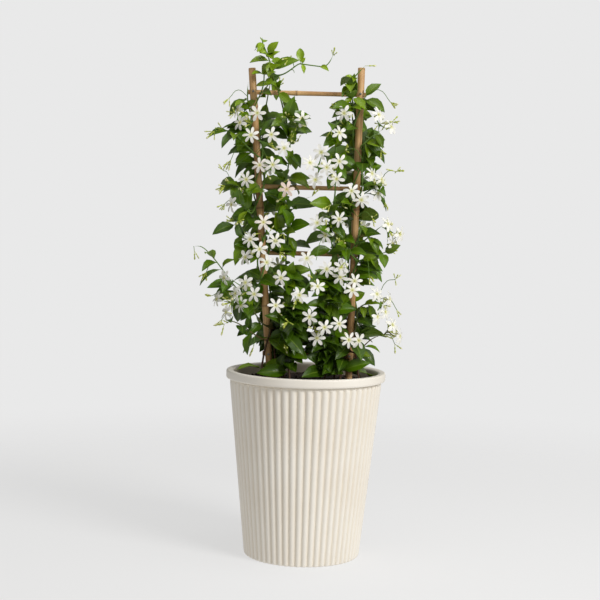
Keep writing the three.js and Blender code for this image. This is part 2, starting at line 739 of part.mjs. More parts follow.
function headingAt(path, distance) {
  return along(path, distance + 3).sub(along(path, Math.max(0, distance - 3))).normalize();
}

class Stem {
  constructor(path, thick, thin, leastBend = 0) {
    this.path = path;
    this.leastBend = leastBend;
    this.length = pathLength(path);
    this.thick = thick;
    this.thin = thin;
    this.nodes = [];
  }

  radius(at) {
    return this.thick + (this.thin - this.thick) * (at / this.length);
  }

  nodeAt(at, reuse) {
    const near = this.nodes.find((node) => Math.abs(node.at - at) < reuse
      && node.outgrowths.length < 4);
    if (near) return near;
    const bends = this.path.map((_, i) => pathLength(this.path.slice(0, i + 1)));
    const seat = bends.find((bend, i) => i && Math.abs(bend - at) < NODE_ROOM) ?? at;
    const taken = this.nodes.find((node) => Math.abs(node.at - seat) < NODE_ROOM);
    if (taken) return taken;
    const node = { at: seat, spot: along(this.path, seat), outgrowths: [], normals: null };
    this.nodes.push(node);
    return node;
  }

  // The free face of a node that looks most the given way, or -1
  freeFace(node, way) {
    const heading = headingAt(this.path, node.at);
    const level = spotPast(way, heading, -way.dot(heading)).normalize();
    const normals = node.normals
      ?? [0, 1, 2, 3].map((k) => level.clone().applyAxisAngle(heading, (k * Math.PI) / 2));
    const taken = node.outgrowths.map(({ face }) => face);
    const free = [0, 1, 2, 3].filter((k) => !taken.includes(k)
      && normals[k].dot(way) > LEAST_FACING * way.length());
    free.sort((a, b) => normals[b].dot(way) - normals[a].dot(way));
    return free.length ? { face: free[0], normals } : null;
  }

  corners(node, { face, normals }, grow) {
    const heading = headingAt(this.path, node.at);
    const corner = (degrees, rise) => spotPast(
      spotPast(node.spot, heading, rise),
      normals[face].clone().applyAxisAngle(heading, radians(degrees)),
      this.radius(node.at) + grow,
    );
    const half = NODE_HALF + grow;
    return [corner(-45, -half), corner(45, -half), corner(45, half), corner(-45, half)];
  }

  take(node, { face, normals }, outgrowth) {
    node.normals = normals;
    node.outgrowths.push({ face, ...outgrowth });
  }

  ringPoints(centre, heading, across, radius) {
    return [-45, 45, 135, 225].map((degrees) => {
      const way = across.clone().applyAxisAngle(heading, radians(degrees));
      return spotPast(centre, way, radius);
    });
  }

  // Adds the stem to a growth, from an open face or from its own closed foot
  growOn(growth, face) {
    const used = this.nodes.filter((node) => node.outgrowths.length);
    const clear = (at) => used.every((node) => Math.abs(node.at - at) >= NODE_ROOM);
    const stations = used.map((node) => ({ at: node.at, node }));
    let at = 0;
    let bend = 0;
    this.path.forEach((p, i) => {
      if (i) at += p.distanceTo(this.path[i - 1]);
      const first = face ? this.thick + 2.6 : 0;
      bend += headingAt(this.path, at - 4).angleTo(headingAt(this.path, at + 4));
      if (at < first || at > this.length - 2 || !clear(at)) return;
      if (this.leastBend && at > SOIL_BEND && bend < this.leastBend) return;
      stations.push({ at });
      bend = 0;
    });
    stations.sort((a, b) => a.at - b.at);
    const start = headingAt(this.path, 0);
    let across = spotPast(point(1, 0, 0), start, -start.x).normalize();
    let below = face;
    const join = (points, open = []) => {
      if (below === face && face) below = growth.matched(face, points);
      const above = growth.ring(points);
      const { points: corners, triangles } = growth;
      if (below) stitch(corners, triangles, below, above, open);
      else stitch(corners, triangles, growth.ring([this.path[0]]), above);
      below = above;
      return above;
    };
    for (const station of stations) {
      const heading = headingAt(this.path, station.at);
      const radius = this.radius(station.at);
      const centre = along(this.path, station.at);
      across = spotPast(across, heading, -across.dot(heading)).normalize();
      if (!station.node) {
        join(this.ringPoints(centre, heading, across, radius));
      } else {
        const { normals, outgrowths } = station.node;
        const turn = [0, 1, 2, 3].reduce((a, b) => (normals[b].dot(across)
          > normals[a].dot(across) ? b : a));
        across = normals[turn].clone();
        const seat = (k) => (k - turn + 4) % 4;
        const open = outgrowths.map((outgrowth) => seat(outgrowth.face));
        const low = join(this.ringPoints(
          spotPast(centre, heading, -NODE_HALF), heading, across, radius));
        const high = join(this.ringPoints(
          spotPast(centre, heading, NODE_HALF), heading, across, radius), open);
        for (const outgrowth of outgrowths) {
          const k = seat(outgrowth.face);
          const quad = [low[k], low[(k + 1) % 4], high[(k + 1) % 4], high[k]];
          if (outgrowth.stem) outgrowth.stem.growOn(growth, quad);
          else growth.grow(quad, leafRings(outgrowth.leaf), outgrowth);
        }
      }
    }
    const end = growth.ring([this.path[this.path.length - 1]]);
    stitch(growth.points, growth.triangles, below, end);
  }
}

// The planter, its soil and the ladder go in first

const pot = potSolid();
place('pot', 'wood', pot);

let soil = toSolid(turned([
  [0, FLOOR_THICKNESS + CLEARANCE],
  [INNER_FOOT_RADIUS - 2 * CLEARANCE, FLOOR_THICKNESS + CLEARANCE],
  [INNER_TOP_RADIUS - SOIL_WALL_GAP, SOIL_TOP - 2],
  [INNER_TOP_RADIUS - SOIL_SHOULDER, SOIL_TOP],
  [0, SOIL_TOP],
], SOIL_SIDES));
place('soil', 'wood', soil);

for (const side of Object.keys(STAKES)) {
  const foot = stakeAt(side, SOIL_TOP - STAKE_DEPTH);
  const head = stakeAt(side, STAKES[side].top);
  ladder[`stake_${side}`] = toSolid(
    bambooTube(foot, head, STAKE_RADIUS, STAKE_SIDES, STAKE_NODE_SPACING, FIRST_STAKE_NODE));
}
for (const [k, height] of RUNG_HEIGHTS.entries()) {
  const reach = STAKE_RADIUS + RUNG_OVERHANG;
  const from = stakeAt('left', height).add(point(-reach, RUNG_DEPTH, 0));
  const to = stakeAt('right', height).add(point(reach, RUNG_DEPTH, 0));
  ladder[`rung_${k + 1}`] = toSolid(
    bambooTube(from, to, RUNG_RADIUS, RUNG_SIDES, RUNG_NODE_SPACING, 42 + 9 * k));
}
for (const { name, side, rung, centre } of nailAxes) {
  nails[name] = toSolid(nailTube(centre, 0));
  const bore = toSolid(nailTube(centre, CLEARANCE));
  for (const wood of [`stake_${side}`, `rung_${rung}`]) {
    ladder[wood] = ladder[wood].subtract(bore);
  }
}
for (const [name, solid] of Object.entries({ ...ladder, ...nails })) place(name, 'wood', solid);

// Vines and their side shoots

const plant = {};

function addStem(vine, stem) {
  plant[vine].stems.push(stem);
  const { path } = stem;
  let at = 0;
  for (let i = 0; i + 1 < path.length; i += 3) {
    const piece = path.slice(i, i + 4);
    const radii = piece.map(() => stem.radius(at) + STEM_ROOM);
    place(vine, 'stem', toSolid(tube(piece, radii, 8)));
    const core = piece.map(() => CORE_SHARE * stem.radius(at));
    place(vine, 'core', toSolid(tube(piece, core, 6, 0)));
    at += pathLength(piece);
  }
}

for (const [name, vine] of Object.entries(VINES)) {
  const stem = new Stem(
    vinePath(vine), VINE_RADIUS, VINE_TIP_RADIUS, vine.side ? 0 : LEAST_BEND);
  plant[name] = { stem, stems: [] };
  addStem(name, stem);
  const last = stem.length - FIRST_PAIR;
  for (let at = ROOT_DEPTH + FIRST_PAIR; at < last; at += PAIR_SPACING) stem.nodeAt(at, 0);
}

const SHOOT_TURNS = [0, 10, -10, 20, -20, 35, -35, 55, -55, 75, -75];
const wantedLeaves = [];

// Adds a shoot at the first turn about its root that is clear, with its leaf pairs
function planShoot(vine, points, pairs) {
  const { stem } = plant[vine];
  const root = nearestOn(stem.path, points[0]);
  const node = stem.nodeAt(distanceOn(stem.path, root), 9);
  for (const turn of SHOOT_TURNS) {
    const path = [node.spot, ...points.map((p) => p.clone().sub(node.spot)
      .applyAxisAngle(up, radians(turn)).add(node.spot))];
    const way = path[1].clone().sub(path[0]).normalize();
    const face = stem.freeFace(node, way);
    if (!face) continue;
    const room = SHOOT_RADIUS + STEM_ROOM;
    const free = spotPast(path[0], way, VINE_RADIUS + room);
    const probe = toSolid(tube([free, ...path.slice(1)], path.map(() => room), 4));
    if (crosses(probe, () => true)) continue;
    const shoot = new Stem(path, SHOOT_RADIUS, SHOOT_TIP_RADIUS);
    const ring = shoot.ringPoints(path[1], way, face.normals[face.face], room + STEM_ROOM);
    const foot = grownBody(node.spot, stem.corners(node, face, STEM_ROOM), [ring, [path[1]]]);
    if (crosses(foot, (item) => item.owner !== vine)) continue;
    place(vine, 'stem', foot);
    stem.take(node, face, { stem: shoot });
    addStem(vine, shoot);
    for (const [share, ...ways] of pairs) {
      const seat = shoot.nodeAt(share * shoot.length, 0);
      for (const reach of ways) {
        wantedLeaves.push({ vine, stem: shoot, node: seat, reach: point(...reach) });
      }
    }
    return;
  }
}

for (const [vine, spots, pairs] of SHOOTS) {
  planShoot(vine, spots.map((p) => point(...p)), pairs);
}

// Shoots that the front doesn't show: each vine puts them out back and forward in turn
for (const [vine, { stem }] of Object.entries(plant)) {
  let count = 0;
  const last = stem.length - BARE_TIP;
  for (let at = ROOT_DEPTH + FIRST_REAR_SHOOT; at < last; at += REAR_SHOOT_SPACING) {
    const root = along(stem.path, at);
    const heading = radians((count % 2 ? -90 : 90) + 80 * (draw() - 0.5));
    const reach = 26 + 12 * draw();
    const rise = 14 + 14 * draw();
    const way = point(Math.cos(heading), Math.sin(heading), 0);
    const aside = way.clone().cross(up);
    const end = spotPast(root, way, reach).addScaledVector(up, rise);
    const leafWay = (hand, level, size) => way.clone().multiplyScalar(0.55)
      .addScaledVector(aside, hand).addScaledVector(up, level).normalize()
      .multiplyScalar(size).toArray();
    planShoot(vine, [end], [
      [0.55, leafWay(-1, -0.1, 31), leafWay(1, -0.1, 31)],
      [0.88, leafWay(count % 2 ? 0.5 : -0.5, -0.3, 28)],
    ]);
    count += 1;
  }
}

// Sprays: each stalk starts just off the nearest stem and ends in a small knuckle of
// eight faces, which the blooms' pedicels grow from

const BLOOM_SHIFTS = [[0, 0], [5, 0], [-4, 0], [9, 0], [3, 7], [3, -7], [8, 8], [8, -8], [14, 0],
  [14, 12], [14, -12], [20, 0]];
const STALK_SLIDES = [0, 6, -6, 12, -12, 18, -18];
const KNUCKLE = 1.5;
const sprays = {};

function stalkFrom(vine, hub) {
  const options = plant[vine].stems.map((stem) => {
    const at = distanceOn(stem.path, nearestOn(stem.path, hub));
    return { stem, at, far: along(stem.path, at).distanceTo(hub) };
  });
  options.sort((a, b) => a.far - b.far);
  for (const { stem, at } of options.slice(0, 2)) {
    for (const slide of STALK_SLIDES) {
      const anchor = along(stem.path, at - 5 + slide);
      const way = hub.clone().sub(anchor).normalize();
      for (let gap = SHOOT_RADIUS; gap < MOST_STALK_GAP; gap += STALK_STEP) {
        const start = spotPast(anchor, way, gap);
        const room = toSolid(tube([start, hub], [STALK_RADIUS, STALK_RADIUS], 6, 0));
        if (!crosses(room, () => true)) return { start, way };
      }
    }
  }
  return null;
}

// Lets a stalk's foot down until it is one clearance from the grown vine
function settle({ start, way }, solid) {
  for (let step = 0; step < SETTLING_STEPS; step += 1) {
    const ends = [start, spotPast(start, way, 1)];
    const foot = toSolid(tube(ends, [STALK_RADIUS, STALK_RADIUS], 6, 0));
    const gap = foot.minGap(solid, MOST_STALK_GAP);
    start.addScaledVector(way, 0.8 * (CLEARANCE - gap));
  }
}

// Gives each limb the free face that looks its way best, and returns all the faces
function seated(faces, limbs) {
  const pairs = faces.flatMap((face) => limbs.map((limb) => (
    { face, limb, fit: face.normal.dot(limb.way) })));
  pairs.sort((a, b) => b.fit - a.fit);
  const given = new Map();
  for (const { face, limb } of pairs) {
    const free = !given.has(face) && ![...given.values()].includes(limb);
    if (free) given.set(face, limb);
  }
  return faces.map((face) => ({ ...face, limb: given.get(face) }));
}

// An even ring of as many points as a seat has, square to a way and turned like the seat
function facingRing(seat, centre, way, radius) {
  const middle = middleOf(seat);
  const arms = seat.map((corner) => {
    const arm = corner.clone().sub(middle);
    return spotPast(arm, way, -arm.dot(way));
  });
  const longest = arms.reduce((best, arm, k) => (arm.length() > arms[best].length() ? k : best), 0);
  return seat.map((_, k) => {
    const turn = (2 * Math.PI * (k - longest)) / seat.length;
    return spotPast(centre, arms[longest].clone().normalize().applyAxisAngle(way, turn), radius);
  });
}

function knuckleFaces(hub, ahead) {
  const side = up.clone().cross(ahead).normalize();
  const above = ahead.clone().cross(side);
  const tips = [side, above, ahead].map((axis) => [
    spotPast(hub, axis, KNUCKLE), spotPast(hub, axis, -KNUCKLE)]);
  const faces = [];
  for (const [a, b, c] of [[0, 0, 0], [1, 0, 0], [0, 1, 0], [1, 1, 0], [0, 0, 1], [1, 0, 1],
    [0, 1, 1], [1, 1, 1]]) {
    const odd = (a + b + c) % 2;
    const corners = odd ? [[0, a], [2, c], [1, b]] : [[0, a], [1, b], [2, c]];
    const normal = [side, above, ahead].reduce((sum, axis, k) => sum
      .addScaledVector(axis, [a, b, c][k] ? -1 : 1), point(0, 0, 0)).normalize();
    faces.push({ corners, normal });
  }
  return { tips, faces };
}

for (const [number, [vine, fork, hearts]] of SPRAYS.entries()) {
  const name = `spray_${String(number + 1).padStart(2, '0')}`;
  const hub = point(...fork);
  const blooms = [];
  const stalk = stalkFrom(vine, hub);
  place(name, 'stem', toSolid(tube(
    [stalk.start, hub], [STALK_RADIUS + 0.1, STALK_RADIUS + 0.6], 4, 0.1)));
  for (const heart of hearts) {
    const lean = [draw(), draw(), draw()].map((value) => 0.5 * (value - 0.5));
    const turn = 2 * Math.PI * draw();
    const petals = draw() < SEVEN_PETALS_SHARE ? MEAN_PETALS + 1 : MEAN_PETALS;
    const middle = point(...heart);
    const out = outward(middle);
    const aside = out.clone().cross(up);
    for (const [forward, across] of BLOOM_SHIFTS) {
      const spot = spotPast(middle, out, forward).addScaledVector(aside, across);
      const facing = out.clone().add(point(lean[0], lean[1], 0.2 + lean[2])).normalize();
      const spec = { heart: spot, facing, turn, petals };
      const calyx = spotPast(spot, facing, -TUBE_LENGTH);
      const wayOut = calyx.clone().sub(hub).normalize();
      const limbs = [stalk.way.clone().negate(), ...blooms.map((bloom) => bloom.wayOut)];
      if (limbs.some((limb) => limb.angleTo(wayOut) < LEAST_FORK)) continue;
      if (crosses(starRoom(spec, LEAF_ROOM), (item) => item.owner !== name
        || item.kind !== 'stem')) continue;
      const stem = [spotPast(hub, wayOut, 0.6), calyx, spotPast(spot, facing, -THROAT_DEPTH)];
      const room = toSolid(tube(stem, [1.9, 1.8, 1.8], 4));
      if (crosses(room, (item) => item.owner !== name)) continue;
      const slim = toSolid(tube([spotPast(hub, wayOut, 6), calyx], [0.9, 1.2], 4));
      if (crosses(slim, (item) => item.owner === name)) continue;
      blooms.push({ spec, wayOut });
      place(name, 'blade', starRoom(spec, 0));
      place(name, 'stem', toSolid(tube(stem, [1.6, 1.5, 1.5], 4)));
      break;
    }
  }
  sprays[name] = { vine, hub, stalk, blooms };
}

// Leaves: the shoots' own, then opposite pairs up each vine, each pair turned a quarter
// from the last. A leaf that would cross something is turned aside, or else left off.

const LEAF_TURNS = [0, 24, -24, 48, -48, 72, -72];

function growLeaf({ vine, stem, node, reach }, roll) {
  for (const turn of LEAF_TURNS) {
    const spec = leafSpec(node.spot, reach.clone().applyAxisAngle(up, radians(turn)), roll);
    const face = stem.freeFace(node, spec.reach);
    if (!face) continue;
    const room = grownBody(
      node.spot, stem.corners(node, face, LEAF_ROOM), leafRings(spec, LEAF_ROOM));
    if (crosses(room, (item) => item.owner !== vine)) continue;
    const corners = stem.corners(node, face, 0);
    const body = grownBody(middleOf(corners), corners, leafRings(spec));
    if (crosses(body, ({ owner, kind }) => owner === vine && kind !== 'stem', TOUCH)) continue;
    stem.take(node, face, { leaf: spec });
    place(vine, 'blade', body);
    return;
  }
}

for (const wanted of wantedLeaves) growLeaf(wanted, 0.6 * (draw() - 0.5));

for (const [vine, height, ...ways] of TIP_LEAVES) {
  const { stem } = plant[vine];
  const spot = stem.path.reduce((best, p) => (Math.abs(p.z - height) < Math.abs(best.z - height)
    ? p : best));
  const node = stem.nodeAt(distanceOn(stem.path, spot), 6);
  for (const reach of ways) {
    growLeaf({ vine, stem, node, reach: point(...reach) }, 0.6 * (draw() - 0.5));
  }
}

for (const [vine, { stem }] of Object.entries(plant)) {
  let quarter = 30;
  for (const node of [...stem.nodes]) {
    const start = quarter + 40 * (draw() - 0.5);
    const young = Math.min(1, (stem.length - node.at) / 90);
    for (const hand of [0, 180]) {
      const heading = radians(start + hand);
      const level = radians(20 - 60 * draw());
      const size = (34 + 14 * draw()) * (0.55 + 0.45 * young);
      const roll = 0.8 * (draw() - 0.5);
      const reach = point(Math.cos(heading) * Math.cos(level),
        Math.sin(heading) * Math.cos(level), Math.sin(level)).multiplyScalar(size);
      growLeaf({ vine, stem, node, reach }, roll);
    }
    quarter += 90;
  }
}

// The soil has a plain hole for each stake and each vine

for (const side of Object.keys(STAKES)) {
  soil = soil.subtract(toSolid(tube(
    [stakeAt(side, SOIL_TOP - STAKE_DEPTH - CLEARANCE), stakeAt(side, SOIL_TOP + 20)],
    [STAKE_RADIUS + HOLE_CLEARANCE, STAKE_RADIUS + HOLE_CLEARANCE], STAKE_SIDES, 0)));
}
for (const { stem } of Object.values(plant)) {
  const foot = stem.path[0];
  soil = soil.subtract(toSolid(tube(
    [foot.clone().setZ(foot.z - CLEARANCE), foot.clone().setZ(SOIL_TOP + 9)],
    [VINE_RADIUS + HOLE_CLEARANCE, VINE_RADIUS + HOLE_CLEARANCE], 6, 0)));
}

// Parts

addPart('pot', toGeometry(pot), 0xe6dcc8, 0.5);
addPart('soil', toGeometry(soil), 0x2c211a, 1);
for (const [name, solid] of Object.entries(ladder)) addPart(name, toGeometry(solid), 0x9a6338, 0.6);
for (const [name, solid] of Object.entries(nails)) {
  addPart(name, toGeometry(solid), 0x8d8d88, 0.4, 1);
}
function dropFrom(nodes, leaf) {
  for (const node of nodes) node.outgrowths = node.outgrowths.filter((other) => other !== leaf);
}

for (const [name, vine] of Object.entries(plant)) {
  let growth = new Growth();
  vine.stem.growOn(growth, null);
  for (let leaf = growth.crossedOwner(); leaf; leaf = growth.crossedOwner()) {
    for (const { nodes } of vine.stems) dropFrom(nodes, leaf);
    growth = new Growth();
    vine.stem.growOn(growth, null);
  }
  vine.solid = growth.solid();
  addPart(`vine_${name}`, toGeometry(vine.solid), 0x2f5a22, 0.5);
}
for (const [name, { vine, hub, stalk, blooms }] of Object.entries(sprays)) {
  const growth = new Growth();
  settle(stalk, plant[vine].solid);
  const ahead = blooms.reduce((sum, { wayOut }) => sum.add(wayOut), point(0, 0, 0)).normalize();
  const { tips, faces } = knuckleFaces(hub, ahead);
  const numbers = tips.map((pair) => growth.ring(pair));
  const limbs = [{ way: stalk.way.clone().negate(), foot: stalk.start }];
  for (const { spec, wayOut } of blooms) limbs.push({ way: wayOut, spec });
  for (const { corners, limb } of seated(faces, limbs)) {
    const ring = corners.map(([axis, hand]) => numbers[axis][hand]);
    const seat = ring.map((i) => growth.points[i]);
    if (!limb) {
      growth.triangles.push(...ring);
    } else if (limb.spec) {
      const [calyx, ...rest] = bloomRings(limb.spec);
      const bend = limb.way.clone().add(limb.spec.facing).normalize();
      const turned = facingRing(seat, middleOf(calyx), bend, TUBE_RADIUS);
      growth.grow(ring, [turned]);
      growth.grow(turned.map((_, k) => growth.points.length - 3 + k), rest);
    } else {
      const foot = facingRing(seat, limb.foot, limb.way, STALK_RADIUS);
      growth.grow(ring, [foot, [limb.foot]]);
    }
  }
  addPart(name, toGeometry(growth.solid()), 0xf6f5ee, 0.6);
}

export default parts;
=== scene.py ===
# %% [markdown]
# # A potted star jasmine on a bamboo ladder
# A climbing plant with white star flowers grows up a small ladder of bamboo canes in a
# tall cream pot with upright ribs. The solid model gives every piece its place, so this
# lesson dresses it: fine shapes that stand where the solids stand, finishes from nodes,
# a soft light and a camera. All lengths here are in metres, and MM turns millimetres
# into metres.

import math
import random

import bmesh
import bpy
from mathutils import Matrix, Vector
from mathutils.kdtree import KDTree


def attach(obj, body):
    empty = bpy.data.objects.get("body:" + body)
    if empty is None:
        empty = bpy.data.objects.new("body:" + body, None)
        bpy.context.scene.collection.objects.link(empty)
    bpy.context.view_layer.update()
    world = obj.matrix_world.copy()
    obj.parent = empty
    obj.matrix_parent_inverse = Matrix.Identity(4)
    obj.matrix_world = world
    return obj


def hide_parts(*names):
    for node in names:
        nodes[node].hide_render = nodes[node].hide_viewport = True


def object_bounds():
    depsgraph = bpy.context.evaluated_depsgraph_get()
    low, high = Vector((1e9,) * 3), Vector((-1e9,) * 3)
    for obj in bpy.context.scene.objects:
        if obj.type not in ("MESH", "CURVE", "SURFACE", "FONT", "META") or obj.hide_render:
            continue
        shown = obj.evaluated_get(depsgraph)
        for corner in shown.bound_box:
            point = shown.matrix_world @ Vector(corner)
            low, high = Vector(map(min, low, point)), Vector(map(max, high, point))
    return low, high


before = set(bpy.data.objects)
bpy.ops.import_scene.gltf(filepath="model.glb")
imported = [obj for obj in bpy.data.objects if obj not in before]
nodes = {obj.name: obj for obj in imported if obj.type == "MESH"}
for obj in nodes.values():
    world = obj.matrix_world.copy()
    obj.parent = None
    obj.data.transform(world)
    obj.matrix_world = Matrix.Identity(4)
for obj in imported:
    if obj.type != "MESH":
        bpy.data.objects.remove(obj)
cad_box = [list(corner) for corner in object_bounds()]
MM = 0.001
print("solids:", len(nodes), "box:", cad_box)

# %% [markdown]
# ## Small helpers for shaping
# An operator works on whatever is selected. So each step first clears the selection and
# then picks the points it wants by their place. The helpers below are the hand that
# does the picking: `pick` selects points that pass a test, and `climb` is the move that
# makes any turned or drawn-out form, which is to extrude a ring and resize it, again and
# again, up a profile.

# %% Picking, extruding and finishing
def deselect():
    if bpy.context.object and bpy.context.object.mode == "EDIT":
        bpy.ops.object.mode_set(mode="OBJECT")
    bpy.ops.object.select_all(action="DESELECT")


def active(piece):
    deselect()
    piece.select_set(True)
    bpy.context.view_layer.objects.active = piece


def edit(piece):
    active(piece)
    bpy.ops.object.mode_set(mode="EDIT")


def leave_edit():
    bpy.ops.object.mode_set(mode="OBJECT")


def pick(test):
    """Selects the points that pass the test, in the piece that is being edited."""
    mesh = bmesh.from_edit_mesh(bpy.context.object.data)
    bpy.ops.mesh.select_all(action="DESELECT")
    bpy.ops.mesh.select_mode(type="VERT")
    for vert in mesh.verts:
        vert.select_set(test(vert.co))
    mesh.select_flush(True)
    bmesh.update_edit_mesh(bpy.context.object.data)


def face_outward():
    bpy.ops.mesh.select_all(action="SELECT")
    bpy.ops.mesh.normals_make_consistent(inside=False)


def climb(rings, radius, height):
    """Extrudes the picked ring from its radius and height through a list of others."""
    for wide, high in rings:
        share = wide / radius
        bpy.ops.mesh.extrude_region_move(
            TRANSFORM_OT_translate={"value": (0, 0, high - height)})
        bpy.ops.transform.resize(value=(share, share, 1), center_override=(0, 0, high))
        radius, height = wide, high
    return radius, height


def turned(name, profile, sides):
    """A form turned about Z: a filled circle, extruded ring by ring up a profile."""
    deselect()
    radius, height = profile[0]
    bpy.ops.mesh.primitive_circle_add(vertices=sides, radius=radius,
                                      location=(0, 0, height))
    piece = bpy.context.object
    piece.name = name
    bpy.ops.object.transform_apply(location=True)
    edit(piece)
    bpy.ops.mesh.select_all(action="SELECT")
    bpy.ops.mesh.edge_face_add()
    climb(profile[1:], radius, height)
    face_outward()
    leave_edit()
    return piece


# %% Modifiers, finishes and joining
def apply_all(piece):
    active(piece)
    for modifier in list(piece.modifiers):
        bpy.ops.object.modifier_apply(modifier=modifier.name)


def smooth(piece, degrees):
    active(piece)
    bpy.ops.object.shade_smooth_by_angle(angle=math.radians(degrees))


def paint(piece, *finishes):
    """Gives a piece its finishes, in place of any that it had."""
    piece.data.materials.clear()
    for finish in finishes:
        piece.data.materials.append(finish)


def add_mark(mesh, name, values):
    """Gives each point of a mesh a number that a finish can read."""
    mesh.attributes.new(name, "FLOAT", "POINT").data.foreach_set("value", values)


def joined(name, pieces):
    active(pieces[0])
    for piece in pieces:
        piece.select_set(True)
    bpy.ops.object.join()
    pieces[0].name = name
    return pieces[0]


# %% Copying, placing and declaring
def new_object(name, data):
    piece = bpy.data.objects.new(name, data)
    bpy.context.scene.collection.objects.link(piece)
    return piece


def copy_of(model, matrix, **marks):
    """A copy of a model with its own mesh, set in place, with a number for each mark."""
    mesh = model.data.copy()
    mesh.transform(matrix)
    for name, value in marks.items():
        add_mark(mesh, name, [value] * len(mesh.vertices))
    return new_object(model.name, mesh)


def aimed(spot, aim, size=1.0):
    """The matrix that stands an upright model on a spot, along a direction."""
    turn = Vector((0, 0, 1)).rotation_difference(aim).to_matrix().to_4x4()
    return Matrix.Translation(spot) @ turn @ Matrix.Diagonal((size, size, size, 1))


def framed(spot, axes, size):
    """The matrix that sets a model on a spot, with its X, Y and Z along these axes."""
    turn = Matrix(axes).transposed().to_4x4()
    return Matrix.Translation(spot) @ turn @ Matrix.Diagonal((size, size, size, 1))


def declare(piece, solid):
    """Hangs a finished piece on the root body and hides the solid that it stands for."""
    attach(piece, "root")
    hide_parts(solid)
    print(piece.name, "faces:", len(piece.data.polygons))


# %% Reading the solids
def solid_points(name):
    """A merged copy of a solid's mesh, to read its points from."""
    mesh = bmesh.new()
    mesh.from_mesh(nodes[name].data)
    bmesh.ops.transform(mesh, matrix=nodes[name].matrix_world, verts=mesh.verts)
    bmesh.ops.remove_doubles(mesh, verts=mesh.verts, dist=0.01 * MM)
    return mesh


def tree_of(spots):
    """A search tree that finds the nearest of some spots and its number."""
    tree = KDTree(len(spots))
    for number, spot in enumerate(spots):
        tree.insert(spot, number)
    tree.balance()
    return tree


# %% [markdown]
# ## Small helpers for finishes
# A finish is a chain of nodes. Written as plain sums it can be read like a recipe, so
# the class below wraps one socket and lets Python's own signs add the Math nodes. Any
# other node, such as noise or a bump, comes from its `node` method.

# %% A socket that can be used in sums
class Socket:
    def __init__(self, tree, socket=None):
        self.tree = tree
        self.socket = socket

    def node(self, kind, settings=None, values=None, out=0):
        """A new node: its settings first, then its sockets, and its output."""
        made = self.tree.nodes.new("ShaderNode" + kind)
        for name, value in (settings or {}).items():
            setattr(made, name, value)
        for name, value in (values or {}).items():
            if isinstance(value, Socket):
                self.tree.links.new(value.socket, made.inputs[name])
            else:
                made.inputs[name].default_value = value
        return Socket(self.tree, made.outputs[out]) if made.outputs else None

    def sum(self, operation, first, second=0.0):
        return self.node("Math", {"operation": operation}, {0: first, 1: second})

    def __add__(self, other):
        return self.sum("ADD", self, other)

    def __radd__(self, other):
        return self.sum("ADD", other, self)

    def __sub__(self, other):
        return self.sum("SUBTRACT", self, other)

    def __rsub__(self, other):
        return self.sum("SUBTRACT", other, self)

    def __mul__(self, other):
        return self.sum("MULTIPLY", self, other)

    def __rmul__(self, other):
        return self.sum("MULTIPLY", other, self)

    def __abs__(self):
        return self.sum("ABSOLUTE", self)

    def between(self, low, high):
        """0 below low, 1 above high, and a soft step between them."""
        return self.node("MapRange", {"interpolation_type": "SMOOTHSTEP"},
                         {"Value": self, "From Min": low, "From Max": high})

    def mix(self, first, second):
        """The first colour where this is 0 and the second where it is 1."""
        return self.node("Mix", {"data_type": "RGBA"},
                         {0: self, 6: first, 7: second}, out=2)

    def noise(self, place, scale, detail=2.0):
        return self.node("TexNoise", None,
                         {"Vector": place, "Scale": scale, "Detail": detail})

    def place(self, stretch=(1, 1, 1)):
        """Object coordinates, stretched along each axis."""
        spot = self.node("TexCoord", out=3)
        return self.node("VectorMath", {"operation": "MULTIPLY"}, {0: spot, 1: stretch})

    def length(self, place):
        return self.node("VectorMath", {"operation": "LENGTH"}, {0: place}, out=1)

    def mark(self, name):
        """A number that each point of the mesh carries."""
        return self.node("Attribute", {"attribute_name": name}, out=2)

    def axis(self, place, which):
        return self.node("SeparateXYZ", None, {0: place}, out=which)

    def bump(self, height, strength, distance):
        return self.node("Bump", None, {
            "Height": height, "Strength": strength, "Distance": distance})


def tint(red, green, blue):
    """A screen colour of 0 to 255 as the linear colour that a shader takes."""
    linear = [((c / 255 + 0.055) / 1.055) ** 2.4 for c in (red, green, blue)]
    return (*linear, 1.0)


def start_finish(name):
    """An empty material and a socket to start its sums from."""
    material = bpy.data.materials.new(name)
    material.use_nodes = True
    material.node_tree.nodes.clear()
    return material, Socket(material.node_tree)


def end_finish(material, start, values, thin=None):
    """Closes a finish. A thin one, such as a leaf, also lets (share, colour) through."""
    surface = start.node("BsdfPrincipled", None, values)
    if thin:
        share, colour = thin
        glow = start.node("BsdfTranslucent", None, {"Color": colour})
        surface = start.node("MixShader", None, {0: share, 1: surface, 2: glow})
    start.node("OutputMaterial", None, {"Surface": surface})
    return material
